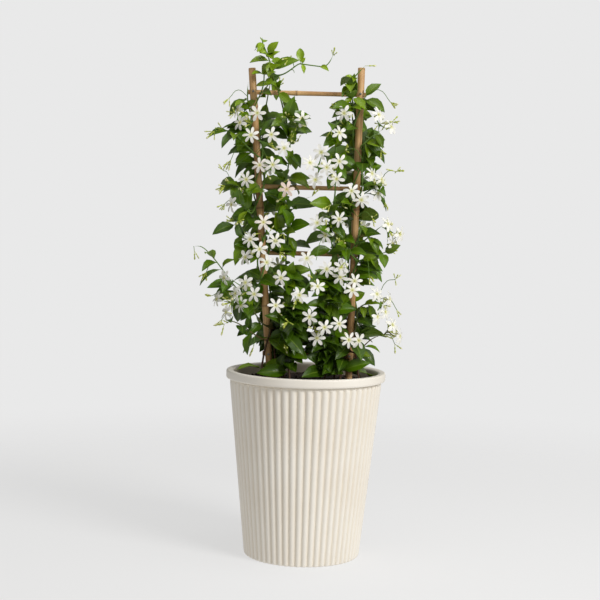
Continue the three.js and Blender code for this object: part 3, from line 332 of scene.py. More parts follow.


# %% [markdown]
# ## Finish: cream glazed pot
# The real pot is smooth cream ceramic or fibre clay with a soft sheen. One colour would
# look like plastic, so a broad noise shifts it between two creams, a fine noise adds
# faint specks, and the same fine noise gives a very low bump. The grooves between the
# ribs and the inside of the wall near the top are painted a darker cream, as painted
# shade for the shade that falls there. The number `groove`, which each point of the pot
# carries, and the distance from the pot's middle tell where they are.

# %% Cream pot finish
# Where the painted shade inside the pot begins: its radius and its height.
INNER_WALL = (101.2 * MM, 103.5 * MM)
UNDER_RIM = (235 * MM, 240 * MM)
cream, start = start_finish("pot_cream")
spot = start.place()
broad = start.noise(spot, 14.0)
fine = start.noise(spot, 900.0, 3.0)
speck = fine.between(0.66, 0.74) * 0.35
colour = broad.between(0.2, 0.8).mix(tint(235, 228, 216), tint(240, 235, 225))
colour = speck.mix(colour, tint(204, 190, 166))
radius = start.length(start.place((1, 1, 0)))
# Painted shade: the inside of the wall near the top is painted a darker cream.
inner_shade = (1 - radius.between(*INNER_WALL)) * start.axis(spot, 2).between(*UNDER_RIM)
colour = inner_shade.mix(colour, tint(190, 180, 160))
# Painted shade: the grooves between the ribs are painted a darker, warmer cream.
colour = (start.mark("groove") * 0.33).mix(colour, tint(206, 190, 160))
end_finish(cream, start, {
    "Base Color": colour, "Roughness": 0.42 + fine * 0.16,
    "Normal": start.bump(fine, 0.12, 0.4 * MM)})
print("finish:", cream.name)

# %% [markdown]
# ## Finish: potting soil
# Damp potting soil is nearly black with brown crumbs and a few pale fibres. Colour and
# bump share one noise, so that what stands up is also what catches the light.

# %% Soil finish
earth, start = start_finish("soil_dark")
spot = start.place()
lump = start.noise(spot, 260.0, 6.0)
fibre = start.noise(spot, 700.0, 2.0).between(0.68, 0.72) * 0.5
colour = lump.between(0.35, 0.7).mix(tint(26, 18, 13), tint(74, 52, 36))
colour = fibre.mix(colour, tint(132, 101, 70))
end_finish(earth, start, {
    "Base Color": colour, "Roughness": 0.95,
    "Normal": start.bump(lump, 0.9, 2.0 * MM)})
print("finish:", earth.name)

# %% [markdown]
# ## Finish: bamboo
# A dried cane is tan to orange brown with fine streaks along its length, and each node
# is a darker band. The streaks are noise drawn out along the cane, so a stake and a
# rung need the same recipe with a different stretch. The bands follow a number, `node`,
# which each point of the cane carries and which is 1 at a node.

# %% Bamboo finishes
def bamboo_finish(name, stretch):
    material, first = start_finish(name)
    place = first.place(stretch)
    streak = first.noise(place, 420.0, 3.0)
    cloud = first.noise(first.place(), 22.0)
    band = first.mark("node")
    tone = cloud.between(0.3, 0.7).mix(tint(194, 148, 94), tint(222, 180, 124))
    tone = (streak.between(0.4, 0.75) * 0.7).mix(tone, tint(134, 92, 54))
    tone = (band * 0.75).mix(tone, tint(86, 50, 28))
    return end_finish(material, first, {
        "Base Color": tone, "Roughness": 0.36 + streak * 0.3,
        "Normal": first.bump(streak, 0.35, 0.3 * MM)})


stake_bamboo = bamboo_finish("bamboo_upright", (1, 1, 0.02))
rung_bamboo = bamboo_finish("bamboo_level", (0.02, 1, 1))
print("finishes:", stake_bamboo.name, rung_bamboo.name)

# %% [markdown]
# ## Finish: steel nail
# The nails that hold the rungs are small and dull, with a trace of rust in the noise.

# %% Nail finish
steel, start = start_finish("nail_steel")
rust = start.noise(start.place(), 1500.0).between(0.5, 0.7)
end_finish(steel, start, {
    "Base Color": rust.mix(tint(150, 148, 142), tint(112, 78, 54)),
    "Metallic": 1 - rust * 0.8, "Roughness": 0.35 + rust * 0.4})
print("finish:", steel.name)

# %% [markdown]
# ## Finish: leaf
# The leaves are leathery and glossy: dark green when grown, yellow green when young.
# `age` is 0 for a young leaf and 1 for an old one, and `tone` is a small shift of its
# own for each leaf, so no two neighbours match. The midrib and the side veins are
# drawn on the leaf's UV map, where u runs across and v runs from stalk to tip, so they
# bend with the blade. A share of translucency lets the light glow through. The
# underside has the same recipe, paler and duller.

# %% Leaf finishes
def leaf_finish(name, dark, light, young, gloss, glow):
    material, first = start_finish(name)
    across = first.axis(first.node("UVMap"), 0)
    along = first.axis(first.node("UVMap"), 1)
    side = abs(across - 0.5)
    midrib = 1 - side.between(0.012, 0.04)
    waves = first.sum("SINE", (along - side * 0.9) * 62.0)
    vein = waves.between(0.8, 1.0) * (1 - side.between(0.36, 0.48))
    cloud = first.noise(first.place(), 90.0)
    age = first.mark("age")
    tone = (first.mark("tone") + cloud * 0.5).mix(dark, light)
    tone = (1 - age).mix(tone, young)
    tone = (midrib * 0.5 + vein * 0.12).mix(tone, tint(150, 178, 62))
    height = vein * -0.5 - midrib + cloud * 0.3
    return end_finish(material, first, {
        "Base Color": tone, "Roughness": gloss + cloud * 0.14,
        "Normal": first.bump(height, 0.4, 0.25 * MM)}, thin=(glow, tint(150, 182, 14)))


leaf_top = leaf_finish("leaf_top", tint(32, 58, 3), tint(86, 124, 8),
                       tint(158, 188, 22), 0.23, 0.14)
leaf_under = leaf_finish("leaf_underside", tint(66, 96, 26), tint(100, 132, 44),
                         tint(154, 182, 62), 0.48, 0.1)
print("finishes:", leaf_top.name, leaf_under.name)

# %% [markdown]
# ## Finish: stem
# Old stems are brown and woody near the soil, and the young growth above is green.
# `wood` says how far a point has turned to wood.

# %% Stem finish
stem_skin, start = start_finish("stem_skin")
grain = start.noise(start.place((1, 1, 0.25)), 500.0, 3.0)
bark = (start.mark("wood") + grain * 0.5 - 0.25).between(0.3, 0.8)
colour = grain.mix(tint(70, 108, 34), tint(112, 146, 52))
colour = bark.mix(colour, tint(86, 58, 36))
end_finish(stem_skin, start, {
    "Base Color": colour, "Roughness": 0.5 + grain * 0.2,
    "Normal": start.bump(grain, 0.3, 0.3 * MM)})
print("finish:", stem_skin.name)

# %% [markdown]
# ## Finish: petal, throat and bud
# A petal is white and thin. It turns cream towards the throat, which is v = 0 on its UV
# map, and very fine veins run along it. `tone` lets a few blooms fade to old rose, as
# the real ones do. The throat, the tube and the buds are yellow green.

# %% Petal, throat and bud finishes
petal_white, start = start_finish("petal_white")
along = start.axis(start.node("UVMap"), 1)
across = start.axis(start.node("UVMap"), 0)
ribs = start.sum("SINE", across * 60.0)
colour = (1 - along.between(0.0, 0.3)).mix(tint(253, 252, 247), tint(236, 236, 178))
colour = start.mark("tone").mix(colour, tint(226, 176, 150))
end_finish(petal_white, start, {
    "Base Color": colour, "Roughness": 0.5 + ribs * 0.05,
    "Normal": start.bump(ribs, 0.1, 0.15 * MM)}, thin=(0.22, tint(255, 253, 240)))

throat_green, start = start_finish("throat_green")
cloud = start.noise(start.place(), 300.0)
end_finish(throat_green, start, {
    "Base Color": cloud.mix(tint(168, 188, 62), tint(212, 216, 100)),
    "Roughness": 0.5 + cloud * 0.1}, thin=(0.15, tint(220, 225, 120)))

throat_gold, start = start_finish("throat_gold")
cloud = start.noise(start.place(), 900.0)
end_finish(throat_gold, start, {
    "Base Color": cloud.mix(tint(206, 196, 76), tint(226, 218, 112)),
    "Roughness": 0.6 + cloud * 0.1})
print("finishes:", petal_white.name, throat_green.name, throat_gold.name)

# %% [markdown]
# ## The pot
# The real pot is a tall round cone with sixty upright half-round ribs, a plain rounded
# rim and a shallow groove under it. It could be a lathe shape with a ribbed texture,
# but the ribs show at the foot and against the light, so they are real. One ring of
# points is drawn in at the grooves, and that ribbed ring is then extruded up the wall,
# so that every rib comes at once. Under the rim the ring is made round again.

# %% Pot sizes
RIBS = 60
POINTS_PER_RIB = 8
POT_SIDES = RIBS * POINTS_PER_RIB
# How far each point of a rib is drawn in, as a share of the radius. Point 0 is the
# bottom of the groove, and point 4 the rib's crest.
GROOVES = {0: 0.027, 1: 0.019, 7: 0.019, 2: 0.0065, 6: 0.0065, 3: 0.001, 5: 0.001}
# Radius and height of each ring, in mm.
POT_FOOT = (79.9, 0.0)
POT_WALL = [(81.2, 0.5), (81.9, 1.4), (82.2, 2.8), (86.9, 48.0), (92.1, 98.0), (97.2, 148.0),
            (102.4, 198.0), (106.6, 239.0), (107.0, 243.0), (106.9, 245.5), (106.2, 247.4)]
POT_RIM = [(104.9, 248.9), (104.9, 250.0), (109.6, 250.1), (111.6, 250.6), (112.3, 251.6),
           (112.5, 252.8), (112.5, 253.4), (112.5, 259.4), (112.4, 260.4), (111.8, 261.5),
           (110.7, 262.0), (109.9, 262.0), (106.2, 262.0), (104.6, 261.8), (102.8, 260.9),
           (101.8, 259.4), (101.4, 257.0), (100.6, 248.0), (87.0, 130.0), (73.0, 12.0)]
FOOT_BORDER = 7 * MM
FOOT_HOLLOW = 3 * MM
print("pot:", POT_SIDES, "points round, rim", POT_RIM[5][0], "mm")

# %% Model the pot
def metres(rings):
    return [(wide * MM, high * MM) for wide, high in rings]


def rib_point(co):
    """Which point of its rib this is."""
    return round(math.atan2(co.y, co.x) / math.tau * POT_SIDES) % POINTS_PER_RIB


def pick_level(height):
    pick(lambda co: abs(co.z - height) < 0.05 * MM)


def set_grooves(height, power):
    """Draws in (power 1) or lets out (power -1) the groove points of the ring."""
    for point, depth in GROOVES.items():
        share = (1 - depth) ** power
        pick(lambda co: abs(co.z - height) < 0.05 * MM and rib_point(co) == point)
        bpy.ops.transform.resize(value=(share, share, 1),
                                 center_override=(0, 0, height))
    pick_level(height)


def model_pot():
    deselect()
    radius, height = POT_FOOT[0] * MM, POT_FOOT[1] * MM
    bpy.ops.mesh.primitive_circle_add(vertices=POT_SIDES, radius=radius)
    piece = bpy.context.object
    piece.name = "planter"
    edit(piece)
    set_grooves(height, 1)
    radius, height = climb(metres(POT_WALL), radius, height)
    set_grooves(height, -1)
    climb(metres(POT_RIM), radius, height)
    bpy.ops.mesh.edge_face_add()
    pick_level(0)
    bpy.ops.mesh.edge_face_add()
    bpy.ops.mesh.inset(thickness=FOOT_BORDER)
    bpy.ops.transform.translate(value=(0, 0, FOOT_HOLLOW))
    face_outward()
    leave_edit()
    paint(piece, cream)
    # Each point of the wall gets a mark, groove, that tells the finish where to paint shade.
    wall = {round(high, 1) for _, high in POT_WALL}
    add_mark(piece.data, "groove", [
        GROOVES.get(rib_point(v.co), 0) / GROOVES[0] if round(v.co.z / MM, 1) in wall else 0
        for v in piece.data.vertices])
    smooth(piece, 40)
    return piece


declare(model_pot(), "pot")

# %% [markdown]
# ## The soil
# Loose potting soil fills the pot to just under the rim. It starts as a disc with many
# rings, which is pushed about by a cloud texture and by small random steps, and then
# crumbs of twenty faces are strewn on it. The stems stand in it, so it needs no holes.

# %% Model the soil
SOIL_EDGE = 245 * MM
SOIL_RISE = 2.5 * MM
SOIL_TOP = 248 * MM
SOIL_RADIUS = 99.5 * MM
SOIL_FORM = [(60 * MM, 196 * MM), (97 * MM, 200 * MM), (SOIL_RADIUS, SOIL_EDGE)]
SOIL_SIDES = 96
SOIL_RINGS = 18
LUMP_SIZE = 14 * MM
LUMP_HEIGHT = 5 * MM


def model_soil():
    piece = turned("potting_soil", SOIL_FORM, SOIL_SIDES)
    edit(piece)
    pick(lambda co: co.z > SOIL_EDGE - MM)
    bpy.ops.mesh.edge_face_add()
    for _ in range(SOIL_RINGS):
        bpy.ops.mesh.inset(thickness=SOIL_RADIUS / (SOIL_RINGS + 1.5))
    bpy.ops.mesh.poke()
    pick(lambda co: co.z > SOIL_EDGE - MM and co.xy.length < SOIL_RADIUS - 1.5 * MM)
    bpy.ops.transform.translate(value=(0, 0, SOIL_RISE))
    bpy.ops.transform.vertex_random(offset=1.1 * MM, uniform=1.0, seed=3)
    leave_edit()
    group = piece.vertex_groups.new(name="top")
    group.add([v.index for v in piece.data.vertices if v.co.z > SOIL_EDGE + MM], 1.0, "ADD")
    lift = piece.modifiers.new("lumps", "DISPLACE")
    lift.texture = bpy.data.textures.new("soil_clouds", "CLOUDS")
    lift.texture.noise_scale = LUMP_SIZE
    lift.texture_coords = "LOCAL"
    lift.direction = "Z"
    lift.vertex_group = "top"
    lift.strength = LUMP_HEIGHT
    apply_all(piece)
    return piece


# %% Strew crumbs on the soil
CRUMBS = 150
CRUMB_SIZES = (0.8, 2.6)
STREWN_RADIUS = 96 * MM


def strew_crumbs():
    draw = random.Random(11)
    deselect()
    bpy.ops.mesh.primitive_ico_sphere_add(subdivisions=1, radius=1)
    model = bpy.context.object
    edit(model)
    bpy.ops.transform.vertex_random(offset=0.35, uniform=1.0, seed=5)
    leave_edit()
    crumbs = []
    for _ in range(CRUMBS):
        reach = STREWN_RADIUS * math.sqrt(draw.random())
        turn = math.tau * draw.random()
        size = draw.uniform(*CRUMB_SIZES) * MM
        place = Matrix.Translation((reach * math.cos(turn), reach * math.sin(turn),
                                    SOIL_TOP + 0.4 * size))
        spin = Matrix.Rotation(math.tau * draw.random(), 4, (1, 0.4, 0.7))
        crumbs.append(copy_of(model, place @ spin @ Matrix.Diagonal(
            (size, size * 0.8, size * 0.6, 1))))
    bpy.data.objects.remove(model)
    return crumbs


soil = joined("potting_soil", [model_soil(), *strew_crumbs()])
paint(soil, earth)
smooth(soil, 50)
declare(soil, "soil")

# %% [markdown]
# ## The bamboo ladder
# Two canes stand in the soil and four thinner ones are nailed behind them. A cane is
# not a plain tube: each node is a ridge with a groove in it, the stretches between are
# a little slimmer, and the cut end shows a hollow. So a circle is extruded up a list of
# radii, and the cane is then laid along the line between its solid's two ends.

# %% Model one cane
CANE_SIDES = 20
# Distance from a node's middle in mm, and the radius there as a share of the cane's.
CANE_NODE = [(-7, 1.0), (-2.6, 1.04), (-1.0, 1.12), (-0.2, 1.09), (0.2, 1.06), (0.9, 1.12),
             (2.6, 1.03), (7, 0.99)]
CANE_HEAD = [(0.5 * MM, 0.98), (0.0, 0.9)]
CANE_HOLLOW = 0.45
HOLLOW_DEPTH = 3 * MM
BAND = 1.6 * MM


def cane_axis(name):
    """The middles of a cane solid's two ends."""
    mesh = solid_points(name)
    spread = [max(v.co[i] for v in mesh.verts) - min(v.co[i] for v in mesh.verts)
              for i in range(3)]
    long = spread.index(max(spread))
    ends = []
    for pole in (min, max):
        edge = pole(v.co[long] for v in mesh.verts)
        near = [v.co.copy() for v in mesh.verts if abs(v.co[long] - edge) < 1.5 * MM]
        ends.append(sum(near, Vector()) / len(near))
    mesh.free()
    return ends


def cane_profile(length, radius, first_node, spacing, draw):
    """The cane's radii and heights from foot to head, and the heights of its nodes."""
    profile = [(radius, 0.0)]
    marks = []
    at = first_node
    while at < length - 8 * MM:
        profile += [(radius * wide, at + rise * MM) for rise, wide in CANE_NODE]
        marks.append(at)
        middle = at + spacing / 2
        if middle < length - 4 * MM:
            profile.append((radius * draw.uniform(0.93, 0.98), middle))
        at += spacing * draw.uniform(0.97, 1.03)
    profile += [(radius * wide, length - below) for below, wide in CANE_HEAD]
    return profile, marks


def model_cane(name, title, radius, first_node, spacing, finish, seed):
    foot, head = cane_axis(name)
    length = (head - foot).length
    profile, marks = cane_profile(length, radius, first_node, spacing, random.Random(seed))
    piece = turned(title, profile, CANE_SIDES)
    edit(piece)
    pick(lambda co: co.z > length - 0.1 * MM)
    bpy.ops.mesh.edge_face_add()
    bpy.ops.mesh.inset(thickness=radius * (CANE_HEAD[-1][1] - CANE_HOLLOW))
    bpy.ops.mesh.extrude_region_move(
        TRANSFORM_OT_translate={"value": (0, 0, -HOLLOW_DEPTH)})
    leave_edit()
    add_mark(piece.data, "node", [
        max([0.0, *(1 - abs(v.co.z - mark) / BAND for mark in marks)])
        for v in piece.data.vertices])
    piece.data.transform(aimed(foot, head - foot))
    paint(piece, finish)
    smooth(piece, 45)
    return piece


# %% Set the ladder up
STAKE_RADIUS = 5.1 * MM
STAKE_FIRST_NODE = 72 * MM
STAKE_SPACING = 140 * MM
RUNG_RADIUS = 3.35 * MM
RUNG_SPACING = 95 * MM

for hand, seed in (("left", 1), ("right", 2)):
    stake = model_cane("stake_" + hand, "cane_" + hand, STAKE_RADIUS, STAKE_FIRST_NODE,
                       STAKE_SPACING, stake_bamboo, seed)
    declare(stake, "stake_" + hand)
for step in (1, 2, 3, 4):
    rung = model_cane(f"rung_{step}", f"cane_rung_{step}", RUNG_RADIUS,
                      (33 + 9 * step) * MM, RUNG_SPACING, rung_bamboo, 10 + step)
    declare(rung, f"rung_{step}")

# %% [markdown]
# ## The nails
# The nails are only a few millimetres long and their solids have the right shape, so
# these solids stay and only get their finish.

# %% Finish the nails
nails = [node for name, node in nodes.items() if name.startswith("nail")]
for nail in nails:
    paint(nail, steel)
print("nails:", len(nails))

# %% [markdown]
# ## Leaf models
# A jasmine leaf is an ellipse with a drawn-out tip. Its blade folds a little along the
# midrib, arches over its length and stands on a short stalk. About a thousand are
# needed, so each model is small: a grid of a few faces, whose rows are resized to the
# leaf's outline and lifted to its arch, and which Solidify then makes a thin blade. A
# row that is shaped is set aside, so that the test for the next row doesn't find it. The
# blade's two sides get the two leaf finishes. A model lies along Y and is 1 long, and
# is copied at its real length.

# %% Model the leaves
# How far along the leaf each row is, and its width as a share of the widest.
LEAF_ROWS = [(0.0, 0.035), (0.09, 0.04), (0.24, 0.72), (0.44, 1.0), (0.66, 0.88),
             (0.86, 0.45), (1.0, 0.012)]
LEAF_COLUMNS = 4
BLADE = 0.014
ASIDE = 10


def shape_row(start, along, stretch, lift):
    """Resizes the row at one Y, lifts it and sets it aside at another."""
    pick(lambda co: abs(co.y - start) < 0.01)
    bpy.ops.transform.resize(value=(stretch, 1, stretch), center_override=(0, start, 0))
    bpy.ops.transform.translate(value=(0, along - start + ASIDE, lift))


def bring_back():
    bpy.ops.mesh.select_all(action="SELECT")
    bpy.ops.transform.translate(value=(0, -ASIDE, 0))


def raise_points(test, rise):
    pick(test)
    bpy.ops.transform.translate(value=(0, 0, rise))


def thicken(piece, thickness):
    """Gives a flat piece a thickness. Its second finish, if it has one, goes underneath."""
    wall = piece.modifiers.new("wall", "SOLIDIFY")
    wall.thickness = thickness
    wall.offset = 0
    wall.material_offset = len(piece.data.materials) - 1
    apply_all(piece)


def model_leaf(name, width, fold, arch, tip_drop, wave):
    deselect()
    rows = len(LEAF_ROWS) - 1
    bpy.ops.mesh.primitive_grid_add(x_subdivisions=LEAF_COLUMNS, y_subdivisions=rows,
                                    size=1)
    piece = bpy.context.object
    piece.name = name
    edit(piece)
    raise_points(lambda co: abs(co.x) > 0.4, fold * 0.5)
    raise_points(lambda co: 0.2 < abs(co.x) < 0.3, fold * 0.2)
    for row, (along, share) in enumerate(LEAF_ROWS):
        wide = share * width
        lift = 4 * arch * along * (1 - along) - tip_drop * along ** 3
        shape_row(row / rows - 0.5, along, wide, lift)
        if wave and 0 < row < rows:
            ripple = wave * (1 if row % 2 else -1)
            for hand in (1, -1):
                raise_points(lambda co: abs(co.y - along - ASIDE) < 0.01
                             and co.x * hand > 0.3 * wide, ripple * hand)
    bring_back()
    face_outward()
    leave_edit()
    paint(piece, leaf_top, leaf_under)
    thicken(piece, BLADE)
    smooth(piece, 60)
    return piece


# Width, fold, arch, droop of the tip and wave. The fold is a share of the width, and
# the others are shares of the length.
leaves = [model_leaf("leaf_broad", 0.5, 0.34, 0.10, 0.0, 0.0),
          model_leaf("leaf_waved", 0.48, 0.28, 0.10, 0.05, 0.012),
          model_leaf("leaf_slim", 0.42, 0.5, 0.11, 0.03, 0.006),
          model_leaf("leaf_drooping", 0.47, 0.4, 0.14, 0.12, 0.01)]
print("leaf faces:", [len(leaf.data.polygons) for leaf in leaves])

# %% [markdown]
# ## Bloom and bud models
# A bloom is a flat star of six or seven strap petals with rounded tips, round a small
# golden throat, on a slim green tube. A petal is modelled from a grid as the leaf
# was, then set round. Six stars are made, each with its petals turned and dropped a
# little differently, so that neighbours don't look cast. A bud is a slim spindle, turned
# on its own stalk. These models are in millimetres, and are copied at MM.

# %% Model the blooms
# How far out each row of a petal is, its half width, and how high it lies.
PETAL_ROWS = [(1.0, 0.95, 0.0), (3.6, 1.7, 0.45), (6.6, 2.45, 0.35), (9.4, 2.5, -0.25),
              (11.4, 1.65, -0.75), (12.3, 0.45, -1.0)]
PETAL_TWIST = 14
PETAL_CUP = 0.12
PETAL_THICKNESS = 0.35
# Radius and height of each ring of the tube, and of the golden heart.
TUBE = [(0.5, -9.6), (1.15, -9.2), (1.3, -8.2), (0.95, -7.2), (1.0, -4.5),
        (1.35, -2.2), (1.7, -0.3), (1.9, 0.25), (1.2, 0.1), (0.6, -0.8)]
HEART = [(0.6, -0.9), (0.8, 0.1), (0.6, 0.6), (0.2, 0.9)]


def model_petal(draw):
    deselect()
    rows = len(PETAL_ROWS) - 1
    bpy.ops.mesh.primitive_grid_add(x_subdivisions=2, y_subdivisions=rows, size=2)
    piece = bpy.context.object
    edit(piece)
    raise_points(lambda co: abs(co.x) > 0.5, PETAL_CUP)
    droop = draw.uniform(-0.6, 1.6)
    for row, (along, half, lift) in enumerate(PETAL_ROWS):
        shape_row(2 * row / rows - 1, along, half, lift - droop * (along / 12) ** 2)
    bring_back()
    leave_edit()
    paint(piece, petal_white)
    thicken(piece, PETAL_THICKNESS)
    return piece


def model_bloom(name, petals, seed):
    draw = random.Random(seed)
    pieces = []
    for number in range(petals):
        petal = model_petal(draw)
        turn = math.tau * (number + draw.uniform(-0.07, 0.07)) / petals - math.pi / 2
        slim = 6 / petals * draw.uniform(0.92, 1.04)
        size = draw.uniform(0.93, 1.0)
        petal.data.transform(
            Matrix.Rotation(turn, 4, "Z")
            @ Matrix.Rotation(math.radians(PETAL_TWIST * draw.uniform(0.4, 1.2)), 4, "Y")
            @ Matrix.Diagonal((slim, size, 1, 1)))
        pieces.append(petal)
    tube = turned("tube", TUBE, 8)
    paint(tube, throat_green)
    heart = turned("heart", HEART, 6)
    paint(heart, throat_gold)
    edit(heart)
    pick(lambda co: co.z > 0.8)
    bpy.ops.mesh.edge_face_add()
    leave_edit()
    bloom = joined(name, [*pieces, tube, heart])
    smooth(bloom, 50)
    return bloom


blooms = {6: [model_bloom(f"star_six_{k}", 6, 40 + k) for k in range(4)],
          7: [model_bloom(f"star_seven_{k}", 7, 50 + k) for k in range(2)]}
print("bloom faces:", len(blooms[6][0].data.polygons))

# %% Model the buds
# Radius and height of each ring, from the stalk's foot to the bud's tip.
BUD = [(0.36, 0), (0.38, 5.2), (1.0, 6.0), (1.05, 7.4), (0.7, 8.4), (0.75, 11.0), (1.3, 13.0),
       (1.2, 14.8), (0.3, 16.8)]
CUP_TOP = 8
GREEN_TOP = 12
BUD_REACH = 17


def model_bud(name, share, finish, fatness):
    """A bud on its stalk, at a share of its full height, with its petals' rings fatter."""
    rings = [(radius * (fatness if height > CUP_TOP else 1), height * share)
             for radius, height in BUD]
    bud = turned(name, rings, 6)
    edit(bud)
    pick(lambda co: co.z > rings[-1][1] - 0.1)
    bpy.ops.mesh.merge(type="CENTER")
    leave_edit()
    paint(bud, throat_green, finish)
    for face in bud.data.polygons:
        face.material_index = int(face.center.z > GREEN_TOP * share)
    smooth(bud, 60)
    return bud


buds = [model_bud("bud_green", 0.8, throat_green, 1.0),
        model_bud("bud_pale", 1.0, petal_white, 1.0)]
opening = model_bud("bud_opening", 1.15, petal_white, 2.1)
print("bud faces:", len(buds[0].data.polygons))

# %% [markdown]
# ## Read the growth from the solids
# Every leaf and bloom of the solid model is replaced by a fine one in the same place, so
# its place has to be read from the solid's points. A solid leaf ends in a tip that joins
# exactly four points: two on the blade's faces and two on its edges. From those four
# and the leaf's known proportions follow its middle line, its length and its root. A
# bloom's crown joins three points for each petal: the notch and the petal's two corners.

# %% Proportions of the solid leaves and blooms
# A solid leaf's thickness, then how far it folds and arches and how wide it is.
SKIN = 1.4 * MM
FOLD = 0.22
ARCH = 0.1
ASPECT = 0.48
# For a long, a middling and a short leaf: how far along its last row of points is and how
# wide it is there, then the same for each of its rows, as shares of length and width.
STATIONS = [(0.8, 0.56, [(0.24, 0.8), (0.52, 1.0), (0.8, 0.56)]),
            (0.68, 0.84, [(0.3, 0.92), (0.68, 0.84)]),
            (0.45, 1.0, [(0.45, 1.0)])]
CROWN = 0.6 * MM
CALYX = 9 * MM
NOTCH_REACH = 5 * MM
NEAR = 0.03 * MM


def around(vert):
    """The points joined to a point, in their order round it."""
    faces = list(vert.link_faces)
    pairs = [[v for v in face.verts if v is not vert] for face in faces]
    ring = list(pairs.pop())
    while pairs:
        following = next((p for p in pairs if ring[-1] in p), None)
        if following is None:
            return ring
        pairs.remove(following)
        ring.append(following[0] if following[1] is ring[-1] else following[1])
    return ring[:-1] if ring[0] is ring[-1] else ring


# %% Find the leaves of a solid
def leaf_at(tip):
    """The leaf that ends in this point, as its frame and the points it uses, or None."""
    if len(tip.link_edges) != 4:
        return None
    ring = [v.co for v in around(tip)]
    if len(ring) != 4:
        return None
    for first, second in ((0, 1), (1, 0)):
        top, bottom = ring[first], ring[first + 2]
        edge, other = ring[second], ring[(second + 2) % 4]
        if abs((top - bottom).length - SKIN) > NEAR:
            continue
        middle = (top + bottom) / 2
        lift = (edge + other) / 2 - middle
        half = (edge - other).length / 2
        if abs(lift.length - FOLD * half) > NEAR:
            continue
        normal = lift.normalized()
        side = (edge - other).normalized()
        way = side.cross(normal)
        if (tip.co - middle).dot(way) < 0:
            side.negate()
            way.negate()
        for share, width, stations in STATIONS:
            length = (tip.co - middle).dot(way) / (1 - share)
            arch = ARCH * length * 4 * share * (1 - share)
            fits = (abs((tip.co - middle).dot(normal) + arch) < NEAR
                    and abs(half - width * ASPECT * length / 2) < NEAR)
            if fits:
                return {"root": tip.co - way * length, "length": length, "way": way,
                        "normal": normal, "side": side, "stations": stations, "tip": tip}
    return None


def leaf_points(leaf):
    """Where the solid leaf's own points are."""
    spots = []
    for share, width in leaf["stations"]:
        middle = (leaf["root"] + leaf["way"] * share * leaf["length"]
                  + leaf["normal"] * ARCH * leaf["length"] * 4 * share * (1 - share))
        half = width * ASPECT * leaf["length"] / 2
        lift = leaf["normal"] * FOLD * half
        spots += [middle + leaf["side"] * half + lift, middle - leaf["side"] * half + lift,
                  middle + leaf["normal"] * SKIN / 2, middle - leaf["normal"] * SKIN / 2]
    return spots


# %% Find the blooms of a solid
def bloom_at(crown):
    """The bloom whose crown this point is, or None."""
    petals = len(crown.link_edges) // 3
    if len(crown.link_edges) not in (18, 21):
        return None
    ring = around(crown)
    while (ring[0].co - crown.co).length > NOTCH_REACH:
        ring.append(ring.pop(0))
    notches = ring[::3]
    middle = sum((v.co for v in notches), Vector()) / petals
    facing = (crown.co - middle).normalized()
    heart = crown.co - facing * CROWN
    petal = (ring[1].co + ring[2].co) / 2 - heart
    petal = (petal - facing * petal.dot(facing)).normalized()
    throat = {v for notch in notches for v in (e.other_vert(notch) for e in notch.link_edges)
              if v is not crown and v not in ring}
    return {"heart": heart, "facing": facing, "petal": petal, "petals": petals,
            "points": [crown, *ring, *throat]}


# %% Read every vine and spray
growth = {}
for name in nodes:
    if not name.startswith(("vine", "spray")):
        continue
    mesh = solid_points(name)
    found = [leaf for leaf in map(leaf_at, mesh.verts) if leaf]
    stars = [bloom for bloom in map(bloom_at, mesh.verts) if bloom]
    tree = tree_of([vert.co for vert in mesh.verts])
    mesh.verts.ensure_lookup_table()
    spent = {leaf["tip"] for leaf in found} | {v for star in stars for v in star["points"]}
    for leaf in found:
        for spot in leaf_points(leaf):
            _, number, far = tree.find(spot)
            if far < NEAR:
                spent.add(mesh.verts[number])
    growth[name] = {"mesh": mesh, "leaves": found, "blooms": stars, "spent": spent}
print("leaves:", sum(len(g["leaves"]) for g in growth.values()),
      "blooms:", sum(len(g["blooms"]) for g in growth.values()))

# %% [markdown]
# ## Stems and stalks
# What is left of a vine's solid, once its leaves are taken off, is its stems: tubes
# with four sides, already joined where a shoot leaves a vine. Their open feet are
# closed, the triangles become quads, and two rounds of subdivision make them round and
# let each joint swell softly, which is how wood and green bark grow. A little fatness
# is given back, because subdivision draws a square tube in, and the ends are creased,
# so that they stay where they are.

# %% Model the stems
WOOD_FROM = 262 * MM
WOOD_TO = 430 * MM
END_WIDTH = 3.2 * MM
ROUNDS = 2


def ends_here(vert):
    """Whether a stem or a stalk ends in this point, with its last ring close round it."""
    ring = [e.other_vert(vert).co for e in vert.link_edges]
    spread = max((a - b).length for a in ring for b in ring)
    return len(ring) in (3, 4) and spread < END_WIDTH and len(vert.link_faces) == len(ring)


